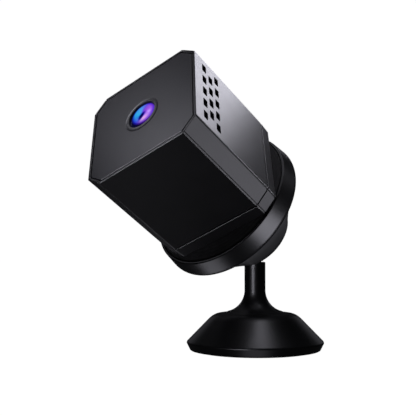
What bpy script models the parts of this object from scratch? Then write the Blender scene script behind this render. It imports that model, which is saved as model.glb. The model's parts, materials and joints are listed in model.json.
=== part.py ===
"""Small desk security camera: an octagonal camera head on a magnetic ball-joint stand.

Millimetres are turned to metres by MM. The stand rises along +Z from the centre of its foot. The head and
its bracket are modelled on their own axes: x across, y up, z forward out of the lens.
"""

import math

import bmesh
import bpy
from mathutils import Vector

MM = 0.001

# Pose of the head over the stand
HEAD_TILT = 32.5  # degrees that the lens axis rises above level
HEAD_ROLL = 30.3  # degrees that the head is turned on the bracket
HEAD_RISE = 2.1  # head axis above the bracket axis, measured on the bracket's face

# Clearances
GAP = 0.3  # between pieces that touch or pass each other
BALL_GAP = 0.15  # between the ball, its sleeve and the socket

# Head case
HEAD_WIDTH = 36.0
HEAD_LENGTH = 36.0
CHAMFER = 4.2  # cut off each long edge, measured along a face
WALL = 1.6
CAP_DEPTH = 3.9  # from the rear face to the seam
CAP_FLOOR = 2.2
SPIGOT_WALL = 1.1
SPIGOT_REACH = 2.4  # how far the cap's spigot goes into the shell
GROOVE_LAND = 0.25  # from a long edge to the fine groove beside it
GROOVE_WIDTH = 0.35
GROOVE_DEPTH = 0.3

# Front panel and its rim
RIM = 0.8
PANEL_THICKNESS = 1.3
LEDGE = 1.6
LEDGE_THICKNESS = 0.8

# Lens stack
BEZEL_RADIUS = 5.4
BEZEL_PROUD = 0.4
BEZEL_LIP = 0.4
BEZEL_EDGE = 0.2
GLASS_RADIUS = 4.2
GLASS_DOME = 0.9
GLASS_EDGE = 0.7
BARREL_LENGTH = 5.2
BARREL_WALL = 1.2
MIDDLE_LENS_AT = 3.5  # middle of the lens, forward of the barrel's back
MIDDLE_LENS_BULGE = 0.5
REAR_LENS_AT = 1.35
REAR_LENS_BULGE = 0.35
LENS_EDGE = 0.8
HOLDER_WIDTH = 12.4
HOLDER_SHORT = 1.0  # front of the holder behind the front of the barrel
SENSOR_WIDTH = 7.0
SENSOR_THICKNESS = 1.1
FILTER_WIDTH = 6.4
FILTER_THICKNESS = 0.5
HOLDER_SHELF = 0.7

# Boards and what they carry
BOARD_THICKNESS = 1.0
BOARD_CORNER = 1.5
SENSOR_BOARD_SIDE = 0.7  # from the speaker to the sensor board
SENSOR_BOARD_END = 2.9  # from the shell's inner wall to the board's top and bottom
LED_RADIUS = 1.5
LED_FLANGE = 0.25
LED_FLANGE_HEIGHT = 0.8
LED_LENGTH = 4.6
LED_INSET = 2.2  # from two edges of the sensor board to the lamp's axis
BOARD_SPACING = 3.2  # sensor board to main board
MAIN_BOARD_SIDE = 1.4  # from the shell's inner wall to the board's sides
MAIN_BOARD_END = 3.9  # from the shell's inner wall to the board's top and bottom
CHIP_WIDTH = 10.0
CHIP_THICKNESS = 1.0
CHIP_AT = (-5.0, 4.0)
MICROPHONE_LENGTH = 3.8
MICROPHONE_WIDTH = 3.0
MICROPHONE_THICKNESS = 1.1
MICROPHONE_AT = (11.0, -9.0)
WIFI_WIDTH = 11.0
WIFI_HEIGHT = 9.0
WIFI_THICKNESS = 2.0
WIFI_AT = (7.5, -6.5)
RIBBON_WIDTH = 8.0
RIBBON_THICKNESS = 0.3
RIBBON_REACH = 6.0  # how far it runs up each board
RIBBON_INSET = 1.2  # from the sensor board's lower edge to the bend's axis
BATTERY_SIDE = 0.4  # from the screw bosses to the battery
BATTERY_TOP = 6.4  # from the shell's inner wall to the battery's upper end
BATTERY_LOW = 2.4  # from the shell's inner wall to the battery's lower end
BATTERY_REAR = 2.0  # from the rear cap's spigot to the battery
BATTERY_CORNER = 1.5
ANTENNA_WIDTH = 18.0
ANTENNA_THICKNESS = 0.4

# Grille and speaker
GRILLE_FRONT = 4.2  # from the front edge to the first column
GRILLE_COLUMN = 2.75
GRILLE_MARGIN = 2.9  # from the end of a column to the case's edge
GRILLE_COUNTS = (5, 4, 5)
SLOT_LENGTH = 2.65
SLOT_WIDTH = 1.7
SLOT_CORNER = 0.45
SPEAKER_END = 5.4  # from the shell's inner wall to the speaker's ends
SPEAKER_MARGIN = 0.6  # past the outer columns of slots
SPEAKER_DEPTH = 3.6
SPEAKER_CORNER = 1.0
GASKET_THICKNESS = 0.5
GASKET_BAND = 0.8

# Ports and buttons
USB_WIDTH = 9.0
USB_HEIGHT = 3.3
USB_DEPTH = 7.3
USB_SKIN = 0.45
USB_CORNER = 1.4
USB_INSET = 0.3  # socket's front edge behind the case's face
USB_FLOOR = 1.1
USB_TONGUE_WIDTH = 5.6
USB_TONGUE_THICKNESS = 0.7
USB_TONGUE_SUNK = 1.1  # tongue behind the socket's front edge
USB_Y = 7.0
PORT_GAP = 1.8  # between the two sockets
CARD_WIDTH = 11.0
CARD_LENGTH = 15.0
CARD_THICKNESS = 0.8
CARD_INSET = 0.2  # card's edge behind the case's face
CARD_SOCKET_DEPTH = 13.2
CARD_SOCKET_SKIN = 0.5
CARD_HOLE_CORNER = 0.4
BUTTON_RADIUS = 1.9
BUTTON_X = 6.0
BUTTON_PROUD = 0.4
BUTTON_EDGE = 0.3
BUTTON_FLANGE = 0.6
BUTTON_LIP = 0.8  # how far a flange reaches past its button
BUTTON_PIN_RADIUS = 1.1
BUTTON_TRAVEL = 0.5
RESET_RADIUS = 0.9
RESET_X = -3.0
RESET_SUNK = 0.4
LIGHT_RADIUS = 0.8
LIGHT_LIP = 0.5
LIGHT_X = 11.0
SWITCH_WIDTH = 5.0
SWITCH_HEIGHT = 2.4
SWITCH_DEPTH = 3.2
SWITCH_SUNK = 0.4  # top of a switch below the main board's upper edge

# Case screws
SCREW_INSET = 5.2  # from a side face to a screw's axis
SCREW_RADIUS = 1.0
SCREW_HEAD_RADIUS = 2.0
SCREW_HEAD_EDGE = 0.25
SCREW_SUNK = 0.05  # head below the rear face
SCREW_POINT = 0.8
SCREW_TIP_ROOM = 1.5  # from the screw's tip to the end of its hole
BOSS_RADIUS = 3.2
BOSS_FLOOR = 1.4

# Bracket
CLING_MARGIN = 6.1  # from a screw's axis to the edge of the steel disc
CLING_THICKNESS = 1.0
RIM_RADIUS = 22.9  # at the rim's rear edge, where it is widest
RIM_TAPER = 0.6
RIM_BEVEL = 0.4
RIM_DEPTH = 5.5
RIM_SUNK = 0.2  # rim's front edge behind the face of the grip pad
RIM_ROUND = 0.5
CUP_WALL = 2.1  # level with the ball's centre
CUP_FLARE = 0.8  # how far the cone between rim and cup curves in
CUP_LIP = 1.7  # behind the ball's centre
CUP_LIP_WALL = 1.2
BRACKET_WALL = 1.1
BRACKET_FLOOR = 3.65
PAD_THICKNESS = 1.5
MAGNET_RADIUS = 12.0
MAGNET_THICKNESS = 3.2

# Ball joint
BALL_HEIGHT = 35.4
SLEEVE_RADIUS = 8.0
SLEEVE_WALL = 1.25
SLEEVE_MOUTH = 34.0  # half angle of the sleeve's hole, degrees
SEAT_WALL = 1.25
SEAT_FLOOR = 1.0
SEAT_SPLIT = 0.5  # where seat and ring meet, forward of the ball's centre
SEAT_MOUTH = 28.0  # half angle of the hole at the seat's front, degrees
RING_ANGLE = 76.0  # half angle of the retaining ring's mouth, degrees
RING_SUNK = 0.2  # ring inside the cup's lip
STEM_WAIST = 2.2
STEM_WAIST_FLARE = 0.5
STEM_RADIUS = 1.9
THREAD_SPARE = 1.0  # stem below its nut

# Stand
NECK_RADIUS = 3.15
NECK_GAP = 0.8  # from the ball sleeve down to the top of the neck
NECK_FILLET = 6.5
NECK_FOOT = 18.15  # height where the neck starts to flare
FLARE_ANGLE = 77.0  # degrees of the flare's arc
SHOULDER_RADIUS = 12.6
SHOULDER_HEIGHT = 10.95
SHOULDER_ROUND = 1.5
TOP_FALL = 0.25  # fall of the top disc over its round edge
FOOT_RADIUS = 20.6
FOOT_EDGE = 2.8  # height of the widest edge
FOOT_ROUND = 0.5
FOOT_UNDERCUT = 1.0  # how far the foot narrows below its widest edge
FOOT_BOTTOM = 0.3
FOOT_LIP = 1.5  # width of the rim around the foot pad
FOOT_WALL = 1.5
TOP_WALL = 1.75
CEILING_BEVEL = 0.5
FOOT_PAD_THICKNESS = 0.7
COVER_THICKNESS = 1.1
NUT_WALL = 1.1
NUT_HEIGHT = 2.0
WASHER_WALL = 2.1
WASHER_THICKNESS = 0.8
WEIGHT_ROOM = 0.7  # between washer and weight

# Sides of round pieces
ROUND_STEPS = 40
MIDDLE_STEPS = 32
SMALL_STEPS = 24
FINE_STEPS = 14
CORNER_STEPS = 2

HALF = HEAD_WIDTH / 2
INNER = HALF - WALL
PANEL_BACK = HEAD_LENGTH - PANEL_THICKNESS
LEDGE_FRONT = PANEL_BACK - GAP
LEDGE_BACK = LEDGE_FRONT - LEDGE_THICKNESS
GLASS_BACK = HEAD_LENGTH - GLASS_EDGE - GAP
HOLDER_BORE = GLASS_RADIUS + GAP
BARREL_FRONT = GLASS_BACK - GAP
BARREL_BACK = BARREL_FRONT - BARREL_LENGTH
POCKET_FRONT = BARREL_BACK - GAP - HOLDER_SHELF
FILTER_BACK = POCKET_FRONT - GAP - FILTER_THICKNESS
SENSOR_FRONT = FILTER_BACK - GAP
SENSOR_BACK = SENSOR_FRONT - SENSOR_THICKNESS
SENSOR_BOARD_FRONT = SENSOR_BACK - GAP
SENSOR_BOARD_BACK = SENSOR_BOARD_FRONT - BOARD_THICKNESS
MAIN_FRONT = SENSOR_BOARD_BACK - BOARD_SPACING
MAIN_BACK = MAIN_FRONT - BOARD_THICKNESS
REAR_PARTS = MAIN_BACK - GAP  # where parts on the main board's back begin
SPEAKER_FACE = INNER - GAP - GASKET_THICKNESS - GAP
SPEAKER_BACK = SPEAKER_FACE - SPEAKER_DEPTH
MAIN_BOARD_WIDTH = 2 * (INNER - MAIN_BOARD_SIDE)
MAIN_BOARD_HEIGHT = 2 * (INNER - MAIN_BOARD_END)
SENSOR_BOARD_WIDTH = 2 * (SPEAKER_BACK - SENSOR_BOARD_SIDE)
SENSOR_BOARD_HEIGHT = 2 * (INNER - SENSOR_BOARD_END)
LED_X = SENSOR_BOARD_WIDTH / 2 - LED_INSET
LED_Y = SENSOR_BOARD_HEIGHT / 2 - LED_INSET
GRILLE_ROW = 2 * (HALF - CHAMFER - GRILLE_MARGIN - SLOT_LENGTH / 2) / (max(GRILLE_COUNTS) - 1)
PORT_Z = REAR_PARTS - USB_HEIGHT / 2
CARD_Z = REAR_PARTS - CARD_SOCKET_SKIN - GAP - CARD_THICKNESS / 2
CARD_SOCKET_HALF = CARD_WIDTH / 2 + GAP + CARD_SOCKET_SKIN
CARD_Y = USB_Y - USB_WIDTH / 2 - PORT_GAP - CARD_SOCKET_HALF
BUTTON_Z = REAR_PARTS - SWITCH_DEPTH / 2
SWITCH_TOP = MAIN_BOARD_HEIGHT / 2 - SWITCH_SUNK
SHELL_REAR = CAP_DEPTH + GAP / 2
CAP_FRONT = CAP_DEPTH - GAP / 2
SPIGOT_FRONT = CAP_DEPTH + SPIGOT_REACH
SCREW_AT = HALF - SCREW_INSET
BATTERY_FRONT = REAR_PARTS - USB_HEIGHT - GAP
BATTERY_BACK = SPIGOT_FRONT + BATTERY_REAR
BOSS_REAR = SPIGOT_FRONT + 2 * GAP
BOSS_FRONT = BATTERY_FRONT - GAP
PILOT_END = BOSS_FRONT - BOSS_FLOOR
SCREW_END = PILOT_END - SCREW_TIP_ROOM
CLING_RADIUS = SCREW_AT * math.sqrt(2) - CLING_MARGIN
SOCKET_RADIUS = SLEEVE_RADIUS + BALL_GAP
CORE_RADIUS = SLEEVE_RADIUS - SLEEVE_WALL - BALL_GAP
LINER_RADIUS = SOCKET_RADIUS + SEAT_WALL
POCKET_RADIUS = LINER_RADIUS + GAP
CUP_RADIUS = POCKET_RADIUS + CUP_WALL
SEAT_FRONT = SOCKET_RADIUS + SEAT_FLOOR
SOCKET_FLOOR = SEAT_FRONT + GAP
MAGNET_BACK = SOCKET_FLOOR + BRACKET_FLOOR + GAP  # this and those below are forward of the ball's centre
MAGNET_FRONT = MAGNET_BACK + MAGNET_THICKNESS
PAD_BACK = MAGNET_FRONT + GAP
PAD_FRONT = PAD_BACK + PAD_THICKNESS
HEAD_REAR = PAD_FRONT + GAP
RIM_FRONT = PAD_FRONT - RIM_SUNK
RIM_REAR = RIM_FRONT - RIM_DEPTH
RIM_FRONT_RADIUS = RIM_RADIUS - RIM_TAPER
NECK_TOP = BALL_HEIGHT - SLEEVE_RADIUS - NECK_GAP
CEILING = SHOULDER_HEIGHT - TOP_WALL
FOOT_BOTTOM_RADIUS = FOOT_RADIUS - FOOT_UNDERCUT
FOOT_MOUTH = FOOT_BOTTOM_RADIUS - FOOT_LIP
PAD_RADIUS = FOOT_MOUTH - GAP
STEM_BORE = STEM_RADIUS + GAP
WASHER_RADIUS = STEM_BORE + WASHER_WALL
WEIGHT_BORE = WASHER_RADIUS + WEIGHT_ROOM


def clear_scene():
    for found in list(bpy.data.objects):
        bpy.data.objects.remove(found, do_unlink=True)


def finish(name, colour, roughness, metallic=0.0):
    """A plain Principled material; colour is linear red, green, blue."""
    made = bpy.data.materials.new(name)
    made.use_nodes = True
    shader = made.node_tree.nodes["Principled BSDF"]
    shader.inputs["Base Color"].default_value = (*colour, 1.0)
    shader.inputs["Roughness"].default_value = roughness
    shader.inputs["Metallic"].default_value = metallic
    made.diffuse_color = (*colour, 1.0)
    return made


def axis_empty(name, parent=None, at=(0, 0, 0), turn=(0, 0, 0)):
    """An empty on a joint's axis; at is in millimetres and turn in degrees."""
    made = bpy.data.objects.new(name, None)
    bpy.context.scene.collection.objects.link(made)
    made.parent = parent
    made.location = Vector(at) * MM
    made.rotation_euler = [math.radians(angle) for angle in turn]
    made.empty_display_size = 5 * MM
    return made


def solid(name, shape, material, parent, at=(0, 0, 0), turn=(0, 0, 0), smooth=None):
    """Puts a bmesh in the scene as one named object."""
    bmesh.ops.remove_doubles(shape, verts=shape.verts, dist=1e-6)
    bmesh.ops.recalc_face_normals(shape, faces=shape.faces)
    mesh = bpy.data.meshes.new(name)
    shape.to_mesh(mesh)
    shape.free()
    made = bpy.data.objects.new(name, mesh)
    bpy.context.scene.collection.objects.link(made)
    made.parent = parent
    made.location = Vector(at) * MM
    made.rotation_euler = [math.radians(angle) for angle in turn]
    if material:
        mesh.materials.append(material)
    if smooth:
        mesh.shade_smooth()
        mesh.set_sharp_from_angle(angle=math.radians(smooth))
    return made


def turned(profile, steps=ROUND_STEPS):
    """A profile of (radius, height) points, closed on itself, spun about z."""
    shape = bmesh.new()
    points = [shape.verts.new((radius * MM, 0, height * MM)) for radius, height in profile]
    count = len(points)
    lines = []
    for i in range(count):
        first, second = points[i], points[(i + 1) % count]
        on_axis = first.co.x == 0 and second.co.x == 0
        if not on_axis:
            lines.append(shape.edges.new((first, second)))
    bmesh.ops.spin(
        shape,
        geom=points + lines,
        axis=(0, 0, 1),
        cent=(0, 0, 0),
        angle=2 * math.pi,
        steps=steps,
        use_merge=True,
    )
    return shape


def pushed(outline, low, high):
    """An outline of (x, y) points extruded along z."""
    shape = bmesh.new()
    corners = [shape.verts.new((x * MM, y * MM, low * MM)) for x, y in outline]
    base = shape.faces.new(corners)
    extruded = bmesh.ops.extrude_face_region(shape, geom=[base])
    moved = [item for item in extruded["geom"] if isinstance(item, bmesh.types.BMVert)]
    bmesh.ops.translate(shape, verts=moved, vec=(0, 0, (high - low) * MM))
    return shape


def arc(centre, radius, start, end, steps):
    """Points from start to end degrees round a centre."""
    found = []
    for i in range(steps + 1):
        angle = math.radians(start + (end - start) * i / steps)
        found.append((centre[0] + radius * math.cos(angle), centre[1] + radius * math.sin(angle)))
    return found


def eased(first, corner, last, steps):
    """Points of a smooth turn from first to last that bends towards corner."""
    found = []
    for i in range(steps + 1):
        share = i / steps
        weights = ((1 - share) ** 2, 2 * share * (1 - share), share**2)
        found.append(
            tuple(sum(w * point[k] for w, point in zip(weights, (first, corner, last))) for k in (0, 1))
        )
    return found


def cap_of_sphere(radius, bulge, base, steps):
    """Profile points of a shallow dome from its edge at (radius, base) to the axis."""
    sphere = (radius**2 + bulge**2) / (2 * abs(bulge))
    reach = math.degrees(math.asin(radius / sphere))
    way = math.copysign(1, bulge)
    found = arc((0, bulge * way - sphere), sphere, 90 - reach, 90, steps)[:-1]
    return [(x, base + way * y) for x, y in found] + [(0, base + bulge)]


def box(width, height, centre=(0, 0), corner=0.0):
    """A rectangle's outline, with round corners if corner isn't 0."""
    x, y = width / 2, height / 2
    if not corner:
        return [
            (centre[0] + sx * x, centre[1] + sy * y)
            for sx, sy in ((-1, -1), (1, -1), (1, 1), (-1, 1))
        ]
    found = []
    for sx, sy, start in ((1, -1, -90), (1, 1, 0), (-1, 1, 90), (-1, -1, 180)):
        middle = (centre[0] + sx * (x - corner), centre[1] + sy * (y - corner))
        found += arc(middle, corner, start, start + 90, CORNER_STEPS)
    return found


def octagon(half, grooved=False):
    """The case's outline at a half width, its corners cut parallel to the outer ones."""
    cut = CHAMFER - (HALF - half) * (2 - math.sqrt(2))
    found = []
    for turn in range(4):
        angle = math.radians(90 * turn)
        first = Vector((half, half - cut))
        second = Vector((half - cut, half))
        corner = [first]
        if grooved:
            along = (second - first).normalized()
            inward = Vector((-1, -1)).normalized()
            near, far = GROOVE_LAND, GROOVE_LAND + GROOVE_WIDTH
            for start, way in ((first, along), (second, -along)):
                stops = [
                    start + way * near,
                    start + way * near + inward * GROOVE_DEPTH,
                    start + way * far + inward * GROOVE_DEPTH,
                    start + way * far,
                ]
                corner += stops if way == along else stops[::-1]
        corner.append(second)
        for point in corner:
            found.append(
                (
                    point.x * math.cos(angle) - point.y * math.sin(angle),
                    point.x * math.sin(angle) + point.y * math.cos(angle),
                )
            )
    return found


def cutter(name, shape, parent, at=(0, 0, 0), turn=(0, 0, 0)):
    made = solid(name, shape, None, parent, at, turn)
    made.hide_render = True
    made.display_type = "WIRE"
    return made


def combine(target, other, operation="DIFFERENCE"):
    change = target.modifiers.new(other.name, "BOOLEAN")
    change.operation = operation
    change.object = other


def joined(shapes):
    """Several closed shapes as the one mesh of a cutter."""
    whole = bmesh.new()
    for shape in shapes:
        part = bpy.data.meshes.new("part")
        shape.to_mesh(part)
        shape.free()
        whole.from_mesh(part)
        bpy.data.meshes.remove(part)
    return whole


def cylinder(radius, low, high, steps=SMALL_STEPS, centre=(0, 0)):
    return pushed(arc(centre, radius, 0, 360 - 360 / steps, steps - 1), low, high)


def materials():
    return {
        "case": finish("black_abs", (0.012, 0.012, 0.014), 0.38),
        "panel": finish("charcoal_panel", (0.022, 0.022, 0.025), 0.45),
        "bezel": finish("black_bezel", (0.01, 0.01, 0.011), 0.25),
        "glass": finish("coated_glass", (0.05, 0.08, 0.35), 0.05),
        "barrel": finish("anodised_barrel", (0.02, 0.02, 0.02), 0.4, 0.6),
        "board": finish("green_board", (0.01, 0.09, 0.035), 0.5),
        "chip": finish("chip_resin", (0.015, 0.015, 0.016), 0.6),
        "can": finish("tinned_steel", (0.6, 0.6, 0.58), 0.3, 1.0),
        "film": finish("amber_film", (0.5, 0.22, 0.03), 0.4),
        "cell": finish("cell_wrap", (0.1, 0.2, 0.45), 0.35),
        "rubber": finish("black_rubber", (0.02, 0.02, 0.02), 0.85),
        "steel": finish("zinc_steel", (0.55, 0.55, 0.56), 0.32, 1.0),
        "magnet": finish("nickel_magnet", (0.62, 0.61, 0.58), 0.22, 1.0),
        "nylon": finish("nylon", (0.03, 0.03, 0.032), 0.5),
        "diffuser": finish("clear_diffuser", (0.75, 0.8, 0.85), 0.3),
    }


def make_shell(m, head):
    shell = solid(
        "main_shell", pushed(octagon(HALF, True), SHELL_REAR, HEAD_LENGTH), m["case"], head, smooth=20
    )
    hollow = pushed(octagon(INNER), 0, LEDGE_BACK)
    combine(shell, cutter("shell_hollow", hollow, head))
    window = pushed(octagon(HALF - LEDGE - RIM), LEDGE_BACK - 1, LEDGE_FRONT + 1)
    combine(shell, cutter("shell_window", window, head))
    rebate = pushed(octagon(HALF - RIM), LEDGE_FRONT, HEAD_LENGTH + 1)
    combine(shell, cutter("shell_rebate", rebate, head))
    spots = [(sx * SCREW_AT, sy * SCREW_AT) for sx in (-1, 1) for sy in (-1, 1)]
    for number, spot in enumerate(spots, 1):
        boss = cylinder(BOSS_RADIUS, BOSS_REAR, BOSS_FRONT, FINE_STEPS, spot)
        combine(shell, cutter(f"boss_{number}", boss, head), "UNION")
    pilots = [
        cylinder(SCREW_RADIUS + GAP, BOSS_REAR - 1, PILOT_END, FINE_STEPS, spot) for spot in spots
    ]
    combine(shell, cutter("boss_pilots", joined(pilots), head))
    combine(shell, cutter("grille_slots", grille_slots(), head, (INNER - 1, 0, 0), (0, 90, 0)))
    usb_hole = box(USB_HEIGHT + 2 * GAP, USB_WIDTH + 2 * GAP, (PORT_Z, USB_Y), USB_CORNER)
    card_hole = box(
        CARD_THICKNESS + 2 * GAP, CARD_WIDTH + 2 * GAP, (CARD_Z, CARD_Y), CARD_HOLE_CORNER
    )
    side = [pushed(outline, -1, WALL + 1) for outline in (usb_hole, card_hole)]
    combine(shell, cutter("side_ports", joined(side), head, (-INNER, 0, 0), (0, -90, 0)))
    top = [
        cylinder(BUTTON_RADIUS + GAP, -1, WALL + 1, centre=(BUTTON_X, -BUTTON_Z)),
        cylinder(RESET_RADIUS + GAP, -1, WALL + 1, FINE_STEPS, (RESET_X, -BUTTON_Z)),
        cylinder(LIGHT_RADIUS + GAP, -1, WALL + 1, FINE_STEPS, (LIGHT_X, -BUTTON_Z)),
    ]
    combine(shell, cutter("top_holes", joined(top), head, (0, INNER, 0), (-90, 0, 0)))
    return shell


def grille_slots():
    """Three staggered columns of round-cornered slots, pushed along z; x is minus forward."""
    slots = []
    for column, count in enumerate(GRILLE_COUNTS):
        forward = HEAD_LENGTH - GRILLE_FRONT - column * GRILLE_COLUMN
        for row in range(count):
            up = (row - (count - 1) / 2) * GRILLE_ROW
            outline = box(SLOT_WIDTH, SLOT_LENGTH, (-forward, up), SLOT_CORNER)
            slots.append(pushed(outline, 0, WALL + 2))
    return joined(slots)


def make_rear_cap(m, head):
    cap = solid("rear_cap", pushed(octagon(HALF, True), 0, CAP_FRONT), m["case"], head, smooth=20)
    spigot = pushed(octagon(INNER - GAP), CAP_FLOOR, SPIGOT_FRONT)
    combine(cap, cutter("cap_spigot", spigot, head), "UNION")
    hollow = pushed(octagon(INNER - GAP - SPIGOT_WALL), CAP_FLOOR, SPIGOT_FRONT + 1)
    combine(cap, cutter("cap_hollow", hollow, head))
    recess = cylinder(CLING_RADIUS + GAP, -1, CLING_THICKNESS + GAP, ROUND_STEPS)
    combine(cap, cutter("cling_recess", recess, head))
    disc = [(0, 0), (CLING_RADIUS, 0), (CLING_RADIUS, CLING_THICKNESS), (0, CLING_THICKNESS)]
    solid("cling_disc", turned(disc), m["steel"], head, smooth=30)
    edge = SCREW_SUNK + SCREW_HEAD_EDGE
    sink = SCREW_HEAD_RADIUS - SCREW_RADIUS
    hole = [
        (0, -1),
        (SCREW_HEAD_RADIUS + GAP, -1),
        (SCREW_HEAD_RADIUS + GAP, edge + GAP),
        (SCREW_RADIUS + GAP, edge + GAP + sink),
        (SCREW_RADIUS + GAP, CAP_FLOOR + 1),
        (0, CAP_FLOOR + 1),
    ]
    screw = [
        (0, SCREW_SUNK),
        (SCREW_HEAD_RADIUS, SCREW_SUNK),
        (SCREW_HEAD_RADIUS, edge),
        (SCREW_RADIUS, edge + sink),
        (SCREW_RADIUS, SCREW_END - SCREW_POINT),
        (0, SCREW_END),
    ]
    number = 0
    for sx in (-1, 1):
        for sy in (-1, 1):
            number += 1
            spot = (sx * SCREW_AT, sy * SCREW_AT, 0)
            combine(cap, cutter(f"screw_hole_{number}", turned(hole, FINE_STEPS), head, spot))
            thread = turned(screw, FINE_STEPS)
            solid(f"cap_screw_{number}", thread, m["steel"], head, spot, smooth=30)


def make_front(m, head):
    panel = solid(
        "front_panel", pushed(octagon(HALF - RIM - GAP), PANEL_BACK, HEAD_LENGTH), m["panel"], head
    )
    hole = cylinder(BEZEL_RADIUS + GAP, PANEL_BACK - 1, HEAD_LENGTH + 1, ROUND_STEPS)
    combine(panel, cutter("lens_hole", hole, head))
    front = HEAD_LENGTH + BEZEL_PROUD
    bore = GLASS_RADIUS + GAP
    bezel = [
        (bore, PANEL_BACK),
        (BEZEL_RADIUS, PANEL_BACK),
        (BEZEL_RADIUS, front - BEZEL_EDGE),
        (BEZEL_RADIUS - BEZEL_EDGE, front),
        (BEZEL_RADIUS - BEZEL_LIP, front),
        (bore, front - BEZEL_LIP),
    ]
    solid("lens_bezel", turned(bezel), m["bezel"], head, smooth=30)
    dome = cap_of_sphere(GLASS_RADIUS, GLASS_DOME, GLASS_BACK + GLASS_EDGE, 5)
    glass = [(0, GLASS_BACK), (GLASS_RADIUS, GLASS_BACK), *dome]
    solid("front_lens", turned(glass, ROUND_STEPS), m["glass"], head, smooth=30)


def make_lens_stack(m, head):
    bore = GLASS_RADIUS - BARREL_WALL
    barrel = [
        (bore, BARREL_BACK),
        (GLASS_RADIUS, BARREL_BACK),
        (GLASS_RADIUS, BARREL_FRONT),
        (bore, BARREL_FRONT),
    ]
    solid("lens_barrel", turned(barrel, ROUND_STEPS), m["barrel"], head, smooth=30)
    lens_radius = bore - GAP
    lenses = (
        ("middle_lens", MIDDLE_LENS_AT, MIDDLE_LENS_BULGE),
        ("rear_lens", REAR_LENS_AT, REAR_LENS_BULGE),
    )
    for name, at, bulge in lenses:
        centre = BARREL_BACK + at
        back = cap_of_sphere(lens_radius, -bulge, centre - LENS_EDGE / 2, 2)
        front = cap_of_sphere(lens_radius, bulge, centre + LENS_EDGE / 2, 2)
        lens = turned([*back[::-1], *front], SMALL_STEPS)
        solid(name, lens, m["glass"], head, smooth=40)
    holder_back = SENSOR_BOARD_FRONT + GAP
    holder = solid(
        "lens_holder",
        pushed(box(HOLDER_WIDTH, HOLDER_WIDTH), holder_back, BARREL_FRONT - HOLDER_SHORT),
        m["chip"],
        head,
    )
    bore_cut = cylinder(HOLDER_BORE, BARREL_BACK - GAP, BARREL_FRONT, ROUND_STEPS)
    combine(holder, cutter("holder_bore", bore_cut, head))
    light_path = cylinder(lens_radius, POCKET_FRONT - 1, BARREL_BACK, SMALL_STEPS)
    combine(holder, cutter("light_path", light_path, head))
    pocket_width = SENSOR_WIDTH + 2 * GAP
    pocket = pushed(box(pocket_width, pocket_width), holder_back - 1, POCKET_FRONT)
    combine(holder, cutter("sensor_pocket", pocket, head))
    filter_box = box(FILTER_WIDTH, FILTER_WIDTH)
    solid("ir_filter", pushed(filter_box, FILTER_BACK, FILTER_BACK + FILTER_THICKNESS), m["glass"], head)
    sensor = pushed(box(SENSOR_WIDTH, SENSOR_WIDTH), SENSOR_BACK, SENSOR_FRONT)
    solid("image_sensor", sensor, m["chip"], head)


def make_sensor_board(m, head):
    outline = box(SENSOR_BOARD_WIDTH, SENSOR_BOARD_HEIGHT, corner=BOARD_CORNER)
    board = pushed(outline, SENSOR_BOARD_BACK, SENSOR_BOARD_FRONT)
    solid("sensor_board", board, m["board"], head)
    low = SENSOR_BOARD_FRONT + GAP
    straight = low + LED_LENGTH - LED_RADIUS
    led = [
        (0, low),
        (LED_RADIUS + LED_FLANGE, low),
        (LED_RADIUS + LED_FLANGE, low + LED_FLANGE_HEIGHT),
        (LED_RADIUS, low + LED_FLANGE_HEIGHT),
        *arc((0, straight), LED_RADIUS, 0, 90, 3)[:-1],
        (0, straight + LED_RADIUS),
    ]
    number = 0
    for sx in (-1, 1):
        for sy in (-1, 1):
            number += 1
            spot = (sx * LED_X, sy * LED_Y, 0)
            solid(f"infrared_led_{number}", turned(led, FINE_STEPS), m["diffuser"], head, spot, smooth=40)


def make_main_board(m, head):
    outline = box(MAIN_BOARD_WIDTH, MAIN_BOARD_HEIGHT, corner=BOARD_CORNER)
    solid("main_board", pushed(outline, MAIN_BACK, MAIN_FRONT), m["board"], head)
    chip_back = MAIN_FRONT + GAP
    chip = pushed(box(CHIP_WIDTH, CHIP_WIDTH, CHIP_AT), chip_back, chip_back + CHIP_THICKNESS)
    solid("processor_chip", chip, m["chip"], head)
    can = box(MICROPHONE_LENGTH, MICROPHONE_WIDTH, MICROPHONE_AT)
    microphone = pushed(can, chip_back, chip_back + MICROPHONE_THICKNESS)
    solid("microphone", microphone, m["can"], head)
    wifi = box(WIFI_WIDTH, WIFI_HEIGHT, WIFI_AT)
    solid("wifi_module", pushed(wifi, REAR_PARTS - WIFI_THICKNESS, REAR_PARTS), m["can"], head)
    make_ribbon(m, head)
    low, high = BATTERY_LOW - INNER, INNER - BATTERY_TOP
    width = 2 * (SCREW_AT - BOSS_RADIUS - BATTERY_SIDE)
    cell = box(width, high - low, (0, (low + high) / 2), BATTERY_CORNER)
    solid("battery", pushed(cell, BATTERY_BACK, BATTERY_FRONT), m["cell"], head)
    strip = box(ANTENNA_WIDTH, ANTENNA_THICKNESS, (0, GAP + ANTENNA_THICKNESS / 2 - INNER))
    solid("antenna_strip", pushed(strip, BATTERY_BACK, BATTERY_FRONT), m["film"], head)


def make_ribbon(m, head):
    """A flat ribbon looped between the two boards, below the chips."""
    back, front = MAIN_FRONT + GAP, SENSOR_BOARD_BACK - GAP
    radius = (front - back) / 2
    middle = (back + front) / 2
    low = RIBBON_INSET - SENSOR_BOARD_HEIGHT / 2
    high = low + RIBBON_REACH
    outer = arc((middle, low), radius, 0, -180, 8)
    inner = arc((middle, low), radius - RIBBON_THICKNESS, -180, 0, 8)
    outline = [(front, high), *outer, (back, high), (back + RIBBON_THICKNESS, high)]
    outline += [*inner, (front - RIBBON_THICKNESS, high)]
    ribbon = pushed(outline, -RIBBON_WIDTH / 2, RIBBON_WIDTH / 2)
    solid("ribbon_cable", ribbon, m["film"], head, turn=(0, -90, 0))


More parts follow.
